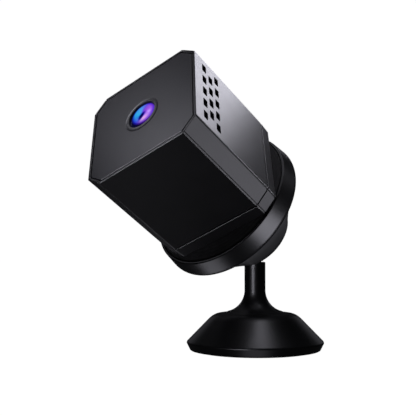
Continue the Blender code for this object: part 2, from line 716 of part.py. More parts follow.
def make_speaker(m, head):
    """The speaker faces the grille and presses its gasket on the shell's inner wall."""
    along = GRILLE_COLUMN * (len(GRILLE_COUNTS) - 1)
    middle = HEAD_LENGTH - GRILLE_FRONT - along / 2
    width = along + SLOT_WIDTH + 2 * SPEAKER_MARGIN
    length = 2 * (INNER - SPEAKER_END)
    outline = box(width, length, (-middle, 0), SPEAKER_CORNER)
    top = INNER - GAP
    gasket = pushed(outline, top - GASKET_THICKNESS, top)
    gasket = solid("speaker_gasket", gasket, m["rubber"], head, turn=(0, 90, 0))
    inside = box(width - 2 * GASKET_BAND, length - 2 * GASKET_BAND, (-middle, 0))
    opening = pushed(inside, SPEAKER_FACE, top + 1)
    combine(gasket, cutter("gasket_opening", opening, head, turn=(0, 90, 0)))
    body = pushed(outline, SPEAKER_BACK, SPEAKER_FACE)
    solid("speaker", body, m["chip"], head, turn=(0, 90, 0))


def make_ports(m, head):
    """The charging socket and the memory card's socket, pushed along the face at minus x."""
    sideways = (0, -90, 0)
    face = HALF - USB_INSET
    outer = box(USB_HEIGHT, USB_WIDTH, (PORT_Z, USB_Y), USB_CORNER)
    usb = solid("usb_socket", pushed(outer, face - USB_DEPTH, face), m["can"], head, turn=sideways)
    mouth = box(
        USB_HEIGHT - 2 * USB_SKIN, USB_WIDTH - 2 * USB_SKIN, (PORT_Z, USB_Y), USB_CORNER - USB_SKIN
    )
    hollow = pushed(mouth, face - USB_DEPTH + USB_FLOOR, HALF + 1)
    combine(usb, cutter("usb_mouth", hollow, head, turn=sideways))
    blade = box(USB_TONGUE_THICKNESS, USB_TONGUE_WIDTH, (PORT_Z, USB_Y))
    tongue = pushed(blade, face - USB_DEPTH + USB_FLOOR / 2, face - USB_TONGUE_SUNK)
    combine(usb, cutter("usb_tongue", tongue, head, turn=sideways), "UNION")
    slot_width = CARD_THICKNESS + 2 * GAP
    outline = box(slot_width + 2 * CARD_SOCKET_SKIN, 2 * CARD_SOCKET_HALF, (CARD_Z, CARD_Y))
    high = INNER - GAP
    body = pushed(outline, high - CARD_SOCKET_DEPTH, high)
    socket = solid("card_socket", body, m["can"], head, turn=sideways)
    slot = box(slot_width, CARD_WIDTH + 2 * GAP, (CARD_Z, CARD_Y))
    through = pushed(slot, high - CARD_SOCKET_DEPTH - 1, high + 1)
    combine(socket, cutter("card_slot", through, head, turn=sideways))
    edge = HALF - CARD_INSET
    card = pushed(box(CARD_THICKNESS, CARD_WIDTH, (CARD_Z, CARD_Y)), edge - CARD_LENGTH, edge)
    solid("memory_card", card, m["chip"], head, turn=sideways)


def make_buttons(m, head):
    """Buttons and light are turned about the y axis; each flange stops under the shell's wall."""
    upright = (-90, 0, 0)
    flange_top = INNER - GAP
    flange_low = flange_top - BUTTON_FLANGE
    switch_box = box(SWITCH_WIDTH, SWITCH_DEPTH)
    for name, x in (("power_switch", BUTTON_X), ("reset_switch", RESET_X)):
        body = pushed(switch_box, SWITCH_TOP - SWITCH_HEIGHT, SWITCH_TOP)
        solid(name, body, m["can"], head, (x, 0, BUTTON_Z), upright)
    foot = SWITCH_TOP + BUTTON_TRAVEL + GAP
    face = HALF + BUTTON_PROUD
    power = [
        (0, foot),
        (BUTTON_PIN_RADIUS, foot),
        (BUTTON_PIN_RADIUS, flange_low),
        (BUTTON_RADIUS + BUTTON_LIP, flange_low),
        (BUTTON_RADIUS + BUTTON_LIP, flange_top),
        (BUTTON_RADIUS, flange_top),
        (BUTTON_RADIUS, face - BUTTON_EDGE),
        (BUTTON_RADIUS - BUTTON_EDGE, face),
        (0, face),
    ]
    at = (BUTTON_X, 0, BUTTON_Z)
    solid("power_button", turned(power, SMALL_STEPS), m["case"], head, at, upright, smooth=30)
    reset = [
        (0, foot),
        (RESET_RADIUS, foot),
        (RESET_RADIUS, flange_low),
        (RESET_RADIUS + BUTTON_LIP, flange_low),
        (RESET_RADIUS + BUTTON_LIP, flange_top),
        (RESET_RADIUS, flange_top),
        (RESET_RADIUS, HALF - RESET_SUNK),
        (0, HALF - RESET_SUNK),
    ]
    at = (RESET_X, 0, BUTTON_Z)
    solid("reset_button", turned(reset, FINE_STEPS), m["nylon"], head, at, upright, smooth=30)
    light = [
        (0, SWITCH_TOP),
        (LIGHT_RADIUS + LIGHT_LIP, SWITCH_TOP),
        (LIGHT_RADIUS + LIGHT_LIP, flange_top),
        (LIGHT_RADIUS, flange_top),
        (LIGHT_RADIUS, HALF),
        (0, HALF),
    ]
    at = (LIGHT_X, 0, BUTTON_Z)
    solid("status_light", turned(light, FINE_STEPS), m["diffuser"], head, at, upright, smooth=30)


def cup_outside():
    """The bracket's outside from the lip forward to the rim, as (radius, forward) points."""
    found = [(POCKET_RADIUS + CUP_LIP_WALL, -CUP_LIP)]
    steps = 6
    end = (RIM_RADIUS - RIM_ROUND, RIM_REAR - RIM_ROUND)
    for i in range(steps + 1):
        share = i / steps
        radius = CUP_RADIUS + (end[0] - CUP_RADIUS) * share
        forward = end[1] * share + CUP_FLARE * math.sin(math.pi * share)
        found.append((radius, forward))
    found.append((RIM_RADIUS, RIM_REAR))
    found.append((RIM_FRONT_RADIUS, RIM_FRONT - RIM_BEVEL))
    found.append((RIM_FRONT_RADIUS - RIM_BEVEL, RIM_FRONT))
    return found


def make_bracket(m, bracket):
    hollow = RIM_FRONT_RADIUS - BRACKET_WALL
    floor = SOCKET_FLOOR + BRACKET_FLOOR
    inside = [
        (hollow, RIM_FRONT),
        (hollow, floor),
        (0, floor),
        (0, SOCKET_FLOOR),
        (POCKET_RADIUS, SOCKET_FLOOR),
        (POCKET_RADIUS, -CUP_LIP),
    ]
    shell = turned([*cup_outside(), *inside])
    solid("bracket_shell", shell, m["case"], bracket, smooth=25)
    pad_radius = hollow - GAP
    pad = [(0, PAD_BACK), (pad_radius, PAD_BACK), (pad_radius, PAD_FRONT), (0, PAD_FRONT)]
    solid("grip_pad", turned(pad), m["rubber"], bracket, smooth=30)
    magnet = [
        (0, MAGNET_BACK),
        (MAGNET_RADIUS, MAGNET_BACK),
        (MAGNET_RADIUS, MAGNET_FRONT),
        (0, MAGNET_FRONT),
    ]
    solid("bracket_magnet", turned(magnet), m["magnet"], bracket, smooth=30)
    start = math.degrees(math.asin(SEAT_SPLIT / SOCKET_RADIUS))
    bowl = arc((0, 0), SOCKET_RADIUS, start, 90 - SEAT_MOUTH, 6)
    seat = [*bowl, (bowl[-1][0], SEAT_FRONT), (LINER_RADIUS, SEAT_FRONT), (LINER_RADIUS, SEAT_SPLIT)]
    solid("ball_seat", turned(seat, MIDDLE_STEPS), m["nylon"], bracket, smooth=40)
    ring_front = SEAT_SPLIT - GAP
    high = math.degrees(math.asin(ring_front / SOCKET_RADIUS))
    grip = arc((0, 0), SOCKET_RADIUS, RING_ANGLE - 90, high, 3)
    ring = [*grip, (LINER_RADIUS, ring_front), (LINER_RADIUS, RING_SUNK - CUP_LIP)]
    solid("retaining_ring", turned(ring, MIDDLE_STEPS), m["nylon"], bracket, smooth=40)


def make_sleeve(m, pan):
    """A hollow ball that turns on the stem's ball and tilts in the bracket's socket."""
    inner = SLEEVE_RADIUS - SLEEVE_WALL
    low = SLEEVE_MOUTH - 90
    skin = arc((0, 0), SLEEVE_RADIUS, low, 90, 10)[:-1]
    core = arc((0, 0), inner, 90, low, 10)[1:]
    profile = [*skin, (0, SLEEVE_RADIUS), (0, inner), *core]
    solid("ball_sleeve", turned(profile, MIDDLE_STEPS), m["nylon"], pan, smooth=40)


def make_stem(m, stand):
    """The steel ball with its stem, clamped in the neck by a nut and a washer below."""
    waist = math.degrees(math.acos(STEM_WAIST / CORE_RADIUS))
    ball = arc((0, BALL_HEIGHT), CORE_RADIUS, -waist, 90, 10)[:-1]
    shoulder = NECK_TOP + GAP
    washer_low = CEILING - GAP - WASHER_THICKNESS
    nut_top = washer_low - GAP
    nut_low = nut_top - NUT_HEIGHT
    stem = [
        (0, nut_low - THREAD_SPARE),
        (STEM_RADIUS, nut_low - THREAD_SPARE),
        (STEM_RADIUS, shoulder),
        (STEM_WAIST + STEM_WAIST_FLARE, shoulder),
        (STEM_WAIST, shoulder + STEM_WAIST_FLARE),
        *ball,
        (0, BALL_HEIGHT + CORE_RADIUS),
    ]
    solid("ball_stem", turned(stem, SMALL_STEPS), m["steel"], stand, smooth=40)
    corner = (STEM_BORE + NUT_WALL) * 2 / math.sqrt(3)
    hexagon = arc((0, 0), corner, 0, 300, 5)
    nut = solid("stem_nut", pushed(hexagon, nut_low, nut_top), m["steel"], stand)
    combine(nut, cutter("nut_bore", cylinder(STEM_BORE, nut_low - 1, nut_top + 1), stand))
    washer = [
        (STEM_BORE, washer_low),
        (WASHER_RADIUS, washer_low),
        (WASHER_RADIUS, washer_low + WASHER_THICKNESS),
        (STEM_BORE, washer_low + WASHER_THICKNESS),
    ]
    solid("stem_washer", turned(washer, SMALL_STEPS), m["steel"], stand, smooth=30)


def foot_outside():
    """The stand's outside from the top of the neck down to the foot's lower edge."""
    middle = (NECK_RADIUS + NECK_FILLET, NECK_FOOT)
    flare = arc(middle, NECK_FILLET, 180, 180 + FLARE_ANGLE, 7)
    run = FOOT_RADIUS - FOOT_ROUND - SHOULDER_RADIUS
    slope = (SHOULDER_HEIGHT - FOOT_EDGE - FOOT_ROUND) / run
    shoulder = eased(
        (SHOULDER_RADIUS - SHOULDER_ROUND, SHOULDER_HEIGHT + TOP_FALL),
        (SHOULDER_RADIUS, SHOULDER_HEIGHT),
        (SHOULDER_RADIUS + SHOULDER_ROUND, SHOULDER_HEIGHT - SHOULDER_ROUND * slope),
        3,
    )
    edge = eased(
        (FOOT_RADIUS - FOOT_ROUND, FOOT_EDGE + FOOT_ROUND),
        (FOOT_RADIUS, FOOT_EDGE + FOOT_ROUND / 2),
        (FOOT_RADIUS, FOOT_EDGE - FOOT_ROUND / 2),
        2,
    )
    bottom = [
        (FOOT_BOTTOM_RADIUS + FOOT_ROUND / 3, FOOT_BOTTOM + FOOT_ROUND),
        (FOOT_BOTTOM_RADIUS - FOOT_ROUND, FOOT_BOTTOM),
    ]
    return [(NECK_RADIUS, NECK_TOP), *flare, *shoulder, *edge, *bottom]


def make_stand(m, stand):
    high = SHOULDER_RADIUS - FOOT_WALL
    shoulder = CEILING - CEILING_BEVEL
    inside = [
        (FOOT_MOUTH, FOOT_BOTTOM),
        (FOOT_MOUTH, FOOT_EDGE),
        (high, shoulder),
        (high - CEILING_BEVEL, CEILING),
        (STEM_BORE, CEILING),
        (STEM_BORE, NECK_TOP),
    ]
    solid("stand_shell", turned([*foot_outside(), *inside]), m["case"], stand, smooth=25)
    pad = [(0, 0), (PAD_RADIUS, 0), (PAD_RADIUS, FOOT_PAD_THICKNESS), (0, FOOT_PAD_THICKNESS)]
    solid("foot_pad", turned(pad), m["rubber"], stand, smooth=30)
    low = FOOT_PAD_THICKNESS + GAP
    top = low + COVER_THICKNESS
    cover = [(0, low), (PAD_RADIUS, low), (PAD_RADIUS, top), (0, top)]
    solid("bottom_cover", turned(cover), m["case"], stand, smooth=30)
    base = top + GAP
    lift = CEILING - 2 * GAP
    lean = (FOOT_MOUTH - high) / (shoulder - FOOT_EDGE)
    clear = GAP * math.sqrt(1 + lean * lean)
    weight = [
        (WEIGHT_BORE, base),
        (PAD_RADIUS, base),
        (PAD_RADIUS, FOOT_EDGE - GAP),
        (FOOT_MOUTH - (lift - FOOT_EDGE) * lean - clear, lift),
        (WEIGHT_BORE, lift),
    ]
    solid("base_weight", turned(weight), m["steel"], stand, smooth=30)


def main():
    clear_scene()
    m = materials()
    stand = axis_empty("stand_axis")
    pan = axis_empty("ball_pan_axis", stand, (0, 0, BALL_HEIGHT))
    bracket = axis_empty("ball_tilt_axis", pan, turn=(90 - HEAD_TILT, 0, 0))
    head = axis_empty("head_turn_axis", bracket, (0, HEAD_RISE, HEAD_REAR), (0, 0, HEAD_ROLL))
    make_shell(m, head)
    make_rear_cap(m, head)
    make_front(m, head)
    make_lens_stack(m, head)
    make_sensor_board(m, head)
    make_main_board(m, head)
    make_speaker(m, head)
    make_ports(m, head)
    make_buttons(m, head)
    make_bracket(m, bracket)
    make_sleeve(m, pan)
    make_stem(m, stand)
    make_stand(m, stand)


main()
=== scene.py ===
"""Looks of a small octagonal security camera on a magnetic ball-joint stand.

Lengths are metres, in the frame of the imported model: the foot stands on z = 0 and the lens looks towards -Y.
Each piece is made along the axes of the body that it belongs to and is then laid in its place in the model.
"""

import json
import math

import bmesh
import bpy
from bpy.props import FloatProperty, FloatVectorProperty, IntProperty, PointerProperty
from mathutils import Matrix, Vector


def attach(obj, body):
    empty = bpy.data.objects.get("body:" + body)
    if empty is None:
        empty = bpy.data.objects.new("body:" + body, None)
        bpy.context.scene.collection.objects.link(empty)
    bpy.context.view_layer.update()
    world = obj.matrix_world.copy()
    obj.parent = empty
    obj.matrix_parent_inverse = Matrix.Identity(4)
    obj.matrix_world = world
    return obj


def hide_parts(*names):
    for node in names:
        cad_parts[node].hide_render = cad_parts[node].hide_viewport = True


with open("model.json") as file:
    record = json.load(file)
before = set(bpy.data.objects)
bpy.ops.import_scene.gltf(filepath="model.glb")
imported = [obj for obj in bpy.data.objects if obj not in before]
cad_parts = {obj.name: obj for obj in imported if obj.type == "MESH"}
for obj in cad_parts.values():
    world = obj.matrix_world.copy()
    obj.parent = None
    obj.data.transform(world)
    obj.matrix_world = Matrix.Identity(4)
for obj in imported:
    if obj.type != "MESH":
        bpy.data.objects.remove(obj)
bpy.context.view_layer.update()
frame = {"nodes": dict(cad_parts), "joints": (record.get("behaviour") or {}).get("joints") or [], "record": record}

bl_info = {
    "name": "Desk security camera",
    "version": (1, 0, 0),
    "blender": (4, 5, 0),
    "location": "3D View > Sidebar > Camera",
    "description": "Makes the visible pieces and finishes of a small desk security camera",
    "category": "Object",
}

MM = 0.001
ROUND = 128  # sides of a large round piece
SMALL = 64
USB_CORNER = 1.4 * MM  # corner round of the charging socket
PIECES = {}  # finished pieces of each body


# ---------------------------------------------------------------- places and sizes from the model


def place_of(origin, across, up, forward):
    """A matrix whose x, y and z axes are across, up and forward."""
    turn = Matrix((across, up, forward)).transposed().to_4x4()
    return Matrix.Translation(origin) @ turn


JOINTS = {joint["name"]: joint for joint in frame["joints"]}
FORWARD = Vector(JOINTS["head_turn"]["axis"]).normalized()
HEAD_UP = -Vector(JOINTS["power_press"]["axis"]).normalized()
TILT_AXIS = Vector(JOINTS["ball_tilt"]["axis"]).normalized()
HEAD = place_of(Vector(JOINTS["head_turn"]["pos_m"]), HEAD_UP.cross(FORWARD), HEAD_UP, FORWARD)
BRACKET = place_of(
    Vector(JOINTS["ball_tilt"]["pos_m"]), TILT_AXIS, FORWARD.cross(TILT_AXIS), FORWARD
)
STAND = Matrix.Identity(4)


def spread(node, place):
    """Lowest and highest corner of a model node, measured along the axes of place."""
    back = place.inverted()
    points = [back @ vertex.co for vertex in frame["nodes"][node].data.vertices]
    low = Vector(min(point[axis] for point in points) for axis in range(3))
    high = Vector(max(point[axis] for point in points) for axis in range(3))
    return low, high


def middle_of(low, high):
    """The point halfway between two corners."""
    return (low + high) / 2


SHELL_LOW, SHELL_HIGH = spread("main_shell", HEAD)
CAP_HIGH = spread("rear_cap", HEAD)[1]
PANEL_LOW, PANEL_HIGH = spread("front_panel", HEAD)
BEZEL_LOW, BEZEL_HIGH = spread("lens_bezel", HEAD)
GLASS_LOW, GLASS_HIGH = spread("front_lens", HEAD)
USB_LOW, USB_HIGH = spread("usb_socket", HEAD)
CARD_LOW, CARD_HIGH = spread("memory_card", HEAD)
POWER_LOW, POWER_HIGH = spread("power_button", HEAD)
RESET_LOW, RESET_HIGH = spread("reset_button", HEAD)
LIGHT_LOW, LIGHT_HIGH = spread("status_light", HEAD)
DISC_HIGH = spread("cling_disc", HEAD)[1]
SCREW_LOW, SCREW_HIGH = spread("cap_screw_1", HEAD)
CUP_LOW, CUP_HIGH = spread("bracket_shell", BRACKET)
PAD_LOW, PAD_HIGH = spread("grip_pad", BRACKET)
RING_HIGH = spread("retaining_ring", BRACKET)[1]
BALL_CENTRE = Vector(JOINTS["ball_pan"]["pos_m"])
SLEEVE_HIGH = spread("ball_sleeve", BRACKET)[1]
STEM_LOW, STEM_HIGH = spread("ball_stem", STAND)
FOOT_HIGH = spread("stand_shell", STAND)[1]
SOLE_HIGH = spread("foot_pad", STAND)[1]


# ---------------------------------------------------------------- settings


def length(name, description, default):
    """A setting in metres."""
    return FloatProperty(
        name=name, description=description, default=default, min=0.0, unit="LENGTH", precision=5
    )


def linear(code):
    """A linear red, green, blue and alpha from an sRGB hex code."""
    values = [int(code[i : i + 2], 16) / 255 for i in (1, 3, 5)]
    return [v / 12.92 if v <= 0.04045 else ((v + 0.055) / 1.055) ** 2.4 for v in values] + [1.0]


def colour(name, description, code):
    """A colour setting, given by its hex code."""
    return FloatVectorProperty(
        name=name, description=description, subtype="COLOR", size=4, min=0.0, max=1.0,
        default=linear(code),
    )


class CameraCaseSettings(bpy.types.PropertyGroup):
    """Sizes of the octagonal case and its openings"""

    chamfer: length("Chamfer", "Width cut off each long edge of the case", 4.2 * MM)
    wall: length("Wall", "Thickness of the case's wall", 1.6 * MM)
    rim: length("Rim", "Width of the case's rim around the front panel", 0.8 * MM)
    edge: length("Edge round", "Round on each outer edge of the case", 0.16 * MM)
    groove_land: length("Groove land", "From a long edge to the fine groove beside it", 0.25 * MM)
    groove_width: length("Groove width", "Width of the fine groove", 0.35 * MM)
    groove_depth: length("Groove depth", "Depth of the fine groove", 0.3 * MM)
    cap_taper: length("Cap taper", "Draw-in of the rear cap's sides at its rear", 0.2 * MM)
    slot_length: length("Slot length", "Length of a grille slot, across the case", 3.0 * MM)
    slot_width: length("Slot width", "Width of a grille slot, along the case", 1.7 * MM)
    slot_corner: length("Slot corner", "Corner round of a grille slot", 0.3 * MM)
    slot_mouth: length("Slot mouth", "Chamfer round the mouth of a slot", 0.04 * MM)
    column_step: length("Column step", "From one column of slots to the next", 2.75 * MM)
    row_step: length("Row step", "From one slot to the next in a column", 5.0 * MM)
    grille_front: length("Grille front", "From the case's front edge to the first column", 4.2 * MM)
    columns: IntProperty(name="Columns", description="Columns of slots", default=3, min=1)
    rows: IntProperty(name="Rows", description="Slots in the longest column", default=5, min=1)


class CameraStandSettings(bpy.types.PropertyGroup):
    """Sizes of the bracket and the stand"""

    rim_depth: length("Rim depth", "Length of the bracket's rim", 5.5 * MM)
    cup_radius: length("Cup radius", "Outside of the ball cup at the ball's centre", 11.8 * MM)
    cup_lip: length("Cup lip", "Outside of the ball cup at its lip", 10.9 * MM)
    bracket_wall: length("Bracket wall", "Thickness of the bracket's rim", 0.8 * MM)
    neck_radius: length("Neck radius", "Radius of the stand's neck", 3.15 * MM)
    neck_fillet: length("Neck fillet", "Radius of the flare where the neck meets the foot", 6.5 * MM)
    neck_foot: length("Neck foot", "Height where the neck starts to flare", 18.15 * MM)
    shoulder_radius: length("Shoulder radius", "Radius of the foot's top", 12.6 * MM)
    shoulder_height: length("Shoulder height", "Height of the foot's top edge", 10.95 * MM)
    foot_edge: length("Foot edge", "Height of the foot's widest edge", 2.8 * MM)


class CameraFinishSettings(bpy.types.PropertyGroup):
    """Colours of the finishes, and of the painted reflection on the lens"""

    case: colour("Case", "Moulded case plastic", "#070708")
    panel: colour("Panel", "Front panel", "#1c1c1f")
    nylon: colour("Nylon", "Ball joint pieces", "#141416")
    rubber: colour("Rubber", "Grip pad and foot pad", "#131314")
    painted_reflection_blue: colour("Painted blue reflection", "Painted reflection of the lens coating towards the upper left", "#2fb4f5")
    painted_reflection_violet: colour("Painted violet reflection", "Painted reflection of the lens coating towards the lower right", "#b57bff")


class CameraStageSettings(bpy.types.PropertyGroup):
    """Where the view is taken from, and how strong its lights are"""

    eye: FloatVectorProperty(
        name="Eye", description="Where the view is taken from", size=3, unit="LENGTH",
        default=(177.45 * MM, -196.82 * MM, 31.76 * MM),
    )
    heading: FloatProperty(
        name="Heading", description="Turn of the view to the left of +Y", subtype="ANGLE",
        default=math.radians(45.10),
    )
    rise: FloatProperty(
        name="Rise", description="Angle by which the view looks up", subtype="ANGLE",
        default=math.radians(2.407),
    )
    lens: FloatProperty(name="Lens", description="Focal length", default=75.75, unit="CAMERA")
    power: FloatProperty(
        name="Power", description="Strength of all lights together", default=1.0, min=0.0
    )


# ---------------------------------------------------------------- mesh tools


def lathe(profile, steps=ROUND):
    """A closed profile of (radius, height) points spun about z."""
    shape = bmesh.new()
    rings = []
    for radius, height in profile:
        if radius < 1e-9:
            rings.append([shape.verts.new((0, 0, height))] * steps)
            continue
        ring = []
        for i in range(steps):
            angle = 2 * math.pi * i / steps
            ring.append(shape.verts.new((radius * math.cos(angle), radius * math.sin(angle), height)))
        rings.append(ring)
    bridge(shape, rings)
    return shape


def bridge(shape, rings):
    """Faces between each ring and the next, and between the last and the first."""
    for first, second in zip(rings, rings[1:] + rings[:1]):
        count = len(first)
        for i in range(count):
            corners = [first[i], first[(i + 1) % count], second[(i + 1) % count], second[i]]
            corners = list(dict.fromkeys(corners))
            if len(corners) > 2:
                shape.faces.new(corners)


def arc(centre, radius, start, end, steps):
    """Points from start to end degrees round a centre."""
    found = []
    for i in range(steps + 1):
        angle = math.radians(start + (end - start) * i / steps)
        found.append((centre[0] + radius * math.cos(angle), centre[1] + radius * math.sin(angle)))
    return found


def eased(first, corner, last, steps):
    """Points of a smooth turn from first to last that bends towards corner."""
    found = []
    for i in range(steps + 1):
        share = i / steps
        weights = ((1 - share) ** 2, 2 * share * (1 - share), share**2)
        points = (first, corner, last)
        found.append(tuple(sum(w * p[axis] for w, p in zip(weights, points)) for axis in (0, 1)))
    return found


def softened(profile, size, steps=3):
    """The closed profile with each corner cut back by size and rounded, but for corners on the axis."""
    found = []
    count = len(profile)
    for i, corner in enumerate(profile):
        here, before, after = (Vector(p) for p in (corner, profile[i - 1], profile[(i + 1) % count]))
        if here.x < 1e-9:
            found.append(corner)
            continue
        to_before, to_after = before - here, after - here
        reach = min(size, to_before.length * 0.45, to_after.length * 0.45)
        first = here + to_before.normalized() * reach
        last = here + to_after.normalized() * reach
        found += eased(first, here, last, steps)
    return found


def round_plate(radius, high, edge):
    """A flat disc that stands on z = 0, its rims rounded."""
    return lathe(softened([(0, 0), (radius, 0), (radius, high), (0, high)], edge))


def rounded_box(width, height, corner, centre=(0, 0), steps=5):
    """Outline of a rectangle with round corners."""
    found = []
    for sx, sy, start in ((1, -1, -90), (1, 1, 0), (-1, 1, 90), (-1, -1, 180)):
        middle = (centre[0] + sx * (width / 2 - corner), centre[1] + sy * (height / 2 - corner))
        found += arc(middle, corner, start, start + 90, steps)
    return found


def pushed(levels):
    """A closed solid through (outline, height) levels whose outlines have equally many points."""
    shape = bmesh.new()
    rings = [[shape.verts.new((x, y, height)) for x, y in outline] for outline, height in levels]
    for first, second in zip(rings, rings[1:]):
        bridge_pair(shape, first, second)
    shape.faces.new(rings[0][::-1])
    shape.faces.new(rings[-1])
    return shape


def bridge_pair(shape, first, second):
    """Faces between two rings of equally many points."""
    count = len(first)
    for i in range(count):
        shape.faces.new((first[i], first[(i + 1) % count], second[(i + 1) % count], second[i]))


def mesh_of(name, shape):
    """A clean mesh from a bmesh, its faces pointing outwards."""
    bmesh.ops.remove_doubles(shape, verts=shape.verts, dist=1e-7)
    bmesh.ops.recalc_face_normals(shape, faces=shape.faces)
    mesh = bpy.data.meshes.new(name)
    shape.to_mesh(mesh)
    shape.free()
    return mesh


def workpiece(name, shape):
    """A new object in the scene, made from a bmesh."""
    made = bpy.data.objects.new(name, mesh_of(name, shape))
    bpy.context.scene.collection.objects.link(made)
    return made


def cut(target, tools, operation="DIFFERENCE"):
    """Applies Booleans to target and removes the tools."""
    for tool in tools:
        change = target.modifiers.new(tool.name, "BOOLEAN")
        change.operation = operation
        change.object = tool
    result = evaluated(target)
    target.modifiers.clear()
    target.data = result
    for tool in tools:
        bpy.data.objects.remove(tool)


def evaluated(target):
    """The target's mesh as its modifiers leave it."""
    graph = bpy.context.evaluated_depsgraph_get()
    return bpy.data.meshes.new_from_object(target.evaluated_get(graph))


def settle(made, place, body, nodes, slot, smooth=35, finish=None):
    """Lays a piece in its place in the model, shades it and lets it ride on its body.

    Its finish is the one of its record slot, unless it brings its own.
    """
    mesh = made.data
    mesh.transform(place)
    mesh.materials.clear()
    mesh.materials.append(finish or finish_of(slot))
    for face in mesh.polygons:
        face.material_index = 0
    mesh.shade_smooth()
    mesh.set_sharp_from_angle(angle=math.radians(smooth))
    change = made.modifiers.new("even_normals", "WEIGHTED_NORMAL")
    change.mode = "FACE_AREA"
    change.weight = 100
    change.keep_sharp = True
    made.data = evaluated(made)
    made.modifiers.clear()
    made.data.name = made.name
    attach(made, body)
    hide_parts(*nodes)
    PIECES.setdefault(body, []).append(made)
    return made


# ---------------------------------------------------------------- finishes


def add(tree, kind, links=None, **settings):
    """Adds a node; settings are its own properties, and links are its inputs by name or number."""
    made = tree.nodes.new(kind)
    for name, value in settings.items():
        setattr(made, name, value)
    for name, value in (links or {}).items():
        if isinstance(value, bpy.types.NodeSocket):
            tree.links.new(value, made.inputs[name])
        else:
            made.inputs[name].default_value = value
    return made


def blank(name):
    """A new material with its Principled shader, its tree and the object's own coordinates."""
    made = bpy.data.materials.new(name)
    made.use_nodes = True
    tree = made.node_tree
    shader = tree.nodes["Principled BSDF"]
    place = add(tree, "ShaderNodeTexCoord").outputs["Object"]
    return made, tree, shader, place


def per(size):
    """Texture scale for features of a size in metres."""
    return 1 / size


def gradient(tree, value, stops):
    """A colour ramp through (place, linear colour) stops."""
    made = add(tree, "ShaderNodeValToRGB", {"Fac": value})
    elements = made.color_ramp.elements
    while len(elements) < len(stops):
        elements.new(0.5)
    for element, (place, shade) in zip(elements, stops):
        element.position = place
        element.color = shade
    return made.outputs["Color"]


def darker(shade, share):
    """The colour at a share of its brightness."""
    return [value * share for value in shade[:3]] + [1.0]


def along_head(tree, place, origin):
    """Coordinates along the head's axes, measured from a point of the model."""
    links = {"Vector": place, "Location": origin, "Rotation": HEAD.to_euler()}
    return add(tree, "ShaderNodeMapping", links, vector_type="TEXTURE").outputs["Vector"]


def maths(tree, operation, first, second):
    """The outcome of one arithmetic step."""
    return add(tree, "ShaderNodeMath", {0: first, 1: second}, operation=operation).outputs[0]


def scaled(tree, value, factor):
    """The value times a factor."""
    return maths(tree, "MULTIPLY", value, factor)


def length_of(tree, x, y):
    """The length of a flat vector."""
    squares = maths(tree, "ADD", maths(tree, "MULTIPLY", x, x), maths(tree, "MULTIPLY", y, y))
    return maths(tree, "POWER", squares, 0.5)


def grained(name, shade, roughness, grain, relief, vary=0.012, metallic=0.0, ior=1.5):
    """A moulded or plated surface: slight clouding, a fine relief and a little variation of gloss."""
    made, tree, shader, place = blank(name)
    shader.inputs["Metallic"].default_value = metallic
    if not metallic:
        shader.inputs["IOR"].default_value = ior
    cloud = add(tree, "ShaderNodeTexNoise", {"Vector": place, "Scale": per(6 * MM), "Detail": 3.0})
    clouded = gradient(tree, cloud.outputs["Fac"], [(0.35, darker(shade, 0.85)), (0.65, shade)])
    tree.links.new(clouded, shader.inputs["Base Color"])
    limits = {"From Min": 0.3, "From Max": 0.7, "To Min": roughness - vary, "To Max": roughness + vary}
    gloss = add(tree, "ShaderNodeMapRange", {"Value": cloud.outputs["Fac"], **limits})
    tree.links.new(gloss.outputs["Result"], shader.inputs["Roughness"])
    fine = add(tree, "ShaderNodeTexNoise", {"Vector": place, "Scale": per(grain), "Detail": 2.0})
    bump = add(tree, "ShaderNodeBump", {"Height": fine.outputs["Fac"], "Distance": relief})
    tree.links.new(bump.outputs["Normal"], shader.inputs["Normal"])
    return made


def satin_abs():
    """Black ABS from a finely etched mould: a deep satin black with soft, wide highlights."""
    return grained("satin_moulded_abs", SETTINGS.finish.case, 0.34, 0.3 * MM, 0.004 * MM)


def infrared_panel():
    """Charcoal acrylic that passes infrared: a touch lighter and more matt than the case."""
    return grained("matt_infrared_acrylic", SETTINGS.finish.panel, 0.32, 0.25 * MM, 0.003 * MM)


def anodised_black():
    """Black anodised aluminium, fine-turned: dark, with sharp thin edge lights."""
    return grained("anodised_turned_aluminium", linear("#1b1b1e"), 0.28, 0.2 * MM, 0.002 * MM, metallic=0.6)


def painted_ring():
    """Charcoal satin paint on a turned ring, matched to the panel round it."""
    return grained("satin_paint_on_alloy", SETTINGS.finish.panel, 0.32, 0.25 * MM, 0.003 * MM)


def moulded_nylon():
    """Black nylon as it leaves the mould: duller than the case, slightly waxy."""
    return grained("moulded_nylon", SETTINGS.finish.nylon, 0.46, 0.35 * MM, 0.006 * MM)


def silicone_rubber():
    """Black silicone rubber: no clear highlight, a soft dusty sheen."""
    made = grained("silicone_rubber", SETTINGS.finish.rubber, 0.78, 0.4 * MM, 0.012 * MM)
    shader = made.node_tree.nodes["Principled BSDF"]
    shader.inputs["Sheen Weight"].default_value = 0.15
    shader.inputs["Sheen Roughness"].default_value = 0.5
    return made


def zinc_plate():
    """Bright zinc plate on steel: pale, faintly blue, finely brushed by tumbling."""
    return grained("zinc_plated_steel", linear("#c3c6cc"), 0.3, 0.15 * MM, 0.004 * MM, metallic=1.0)


def nickel_plate():
    """Nickel plate on a sintered magnet: a warm, bright metal."""
    return grained("nickel_plated_magnet", linear("#cfcabd"), 0.18, 0.5 * MM, 0.002 * MM, metallic=1.0)


def tin_plate():
    """Tin plate on stamped steel: grey and softly bright."""
    return grained("tin_plated_steel", linear("#c6c6c2"), 0.32, 0.3 * MM, 0.003 * MM, metallic=1.0)


def chip_resin():
    """Epoxy moulding resin on chips: dark grey and evenly matt."""
    return grained("epoxy_moulding_resin", linear("#1f1f21"), 0.62, 0.12 * MM, 0.006 * MM)


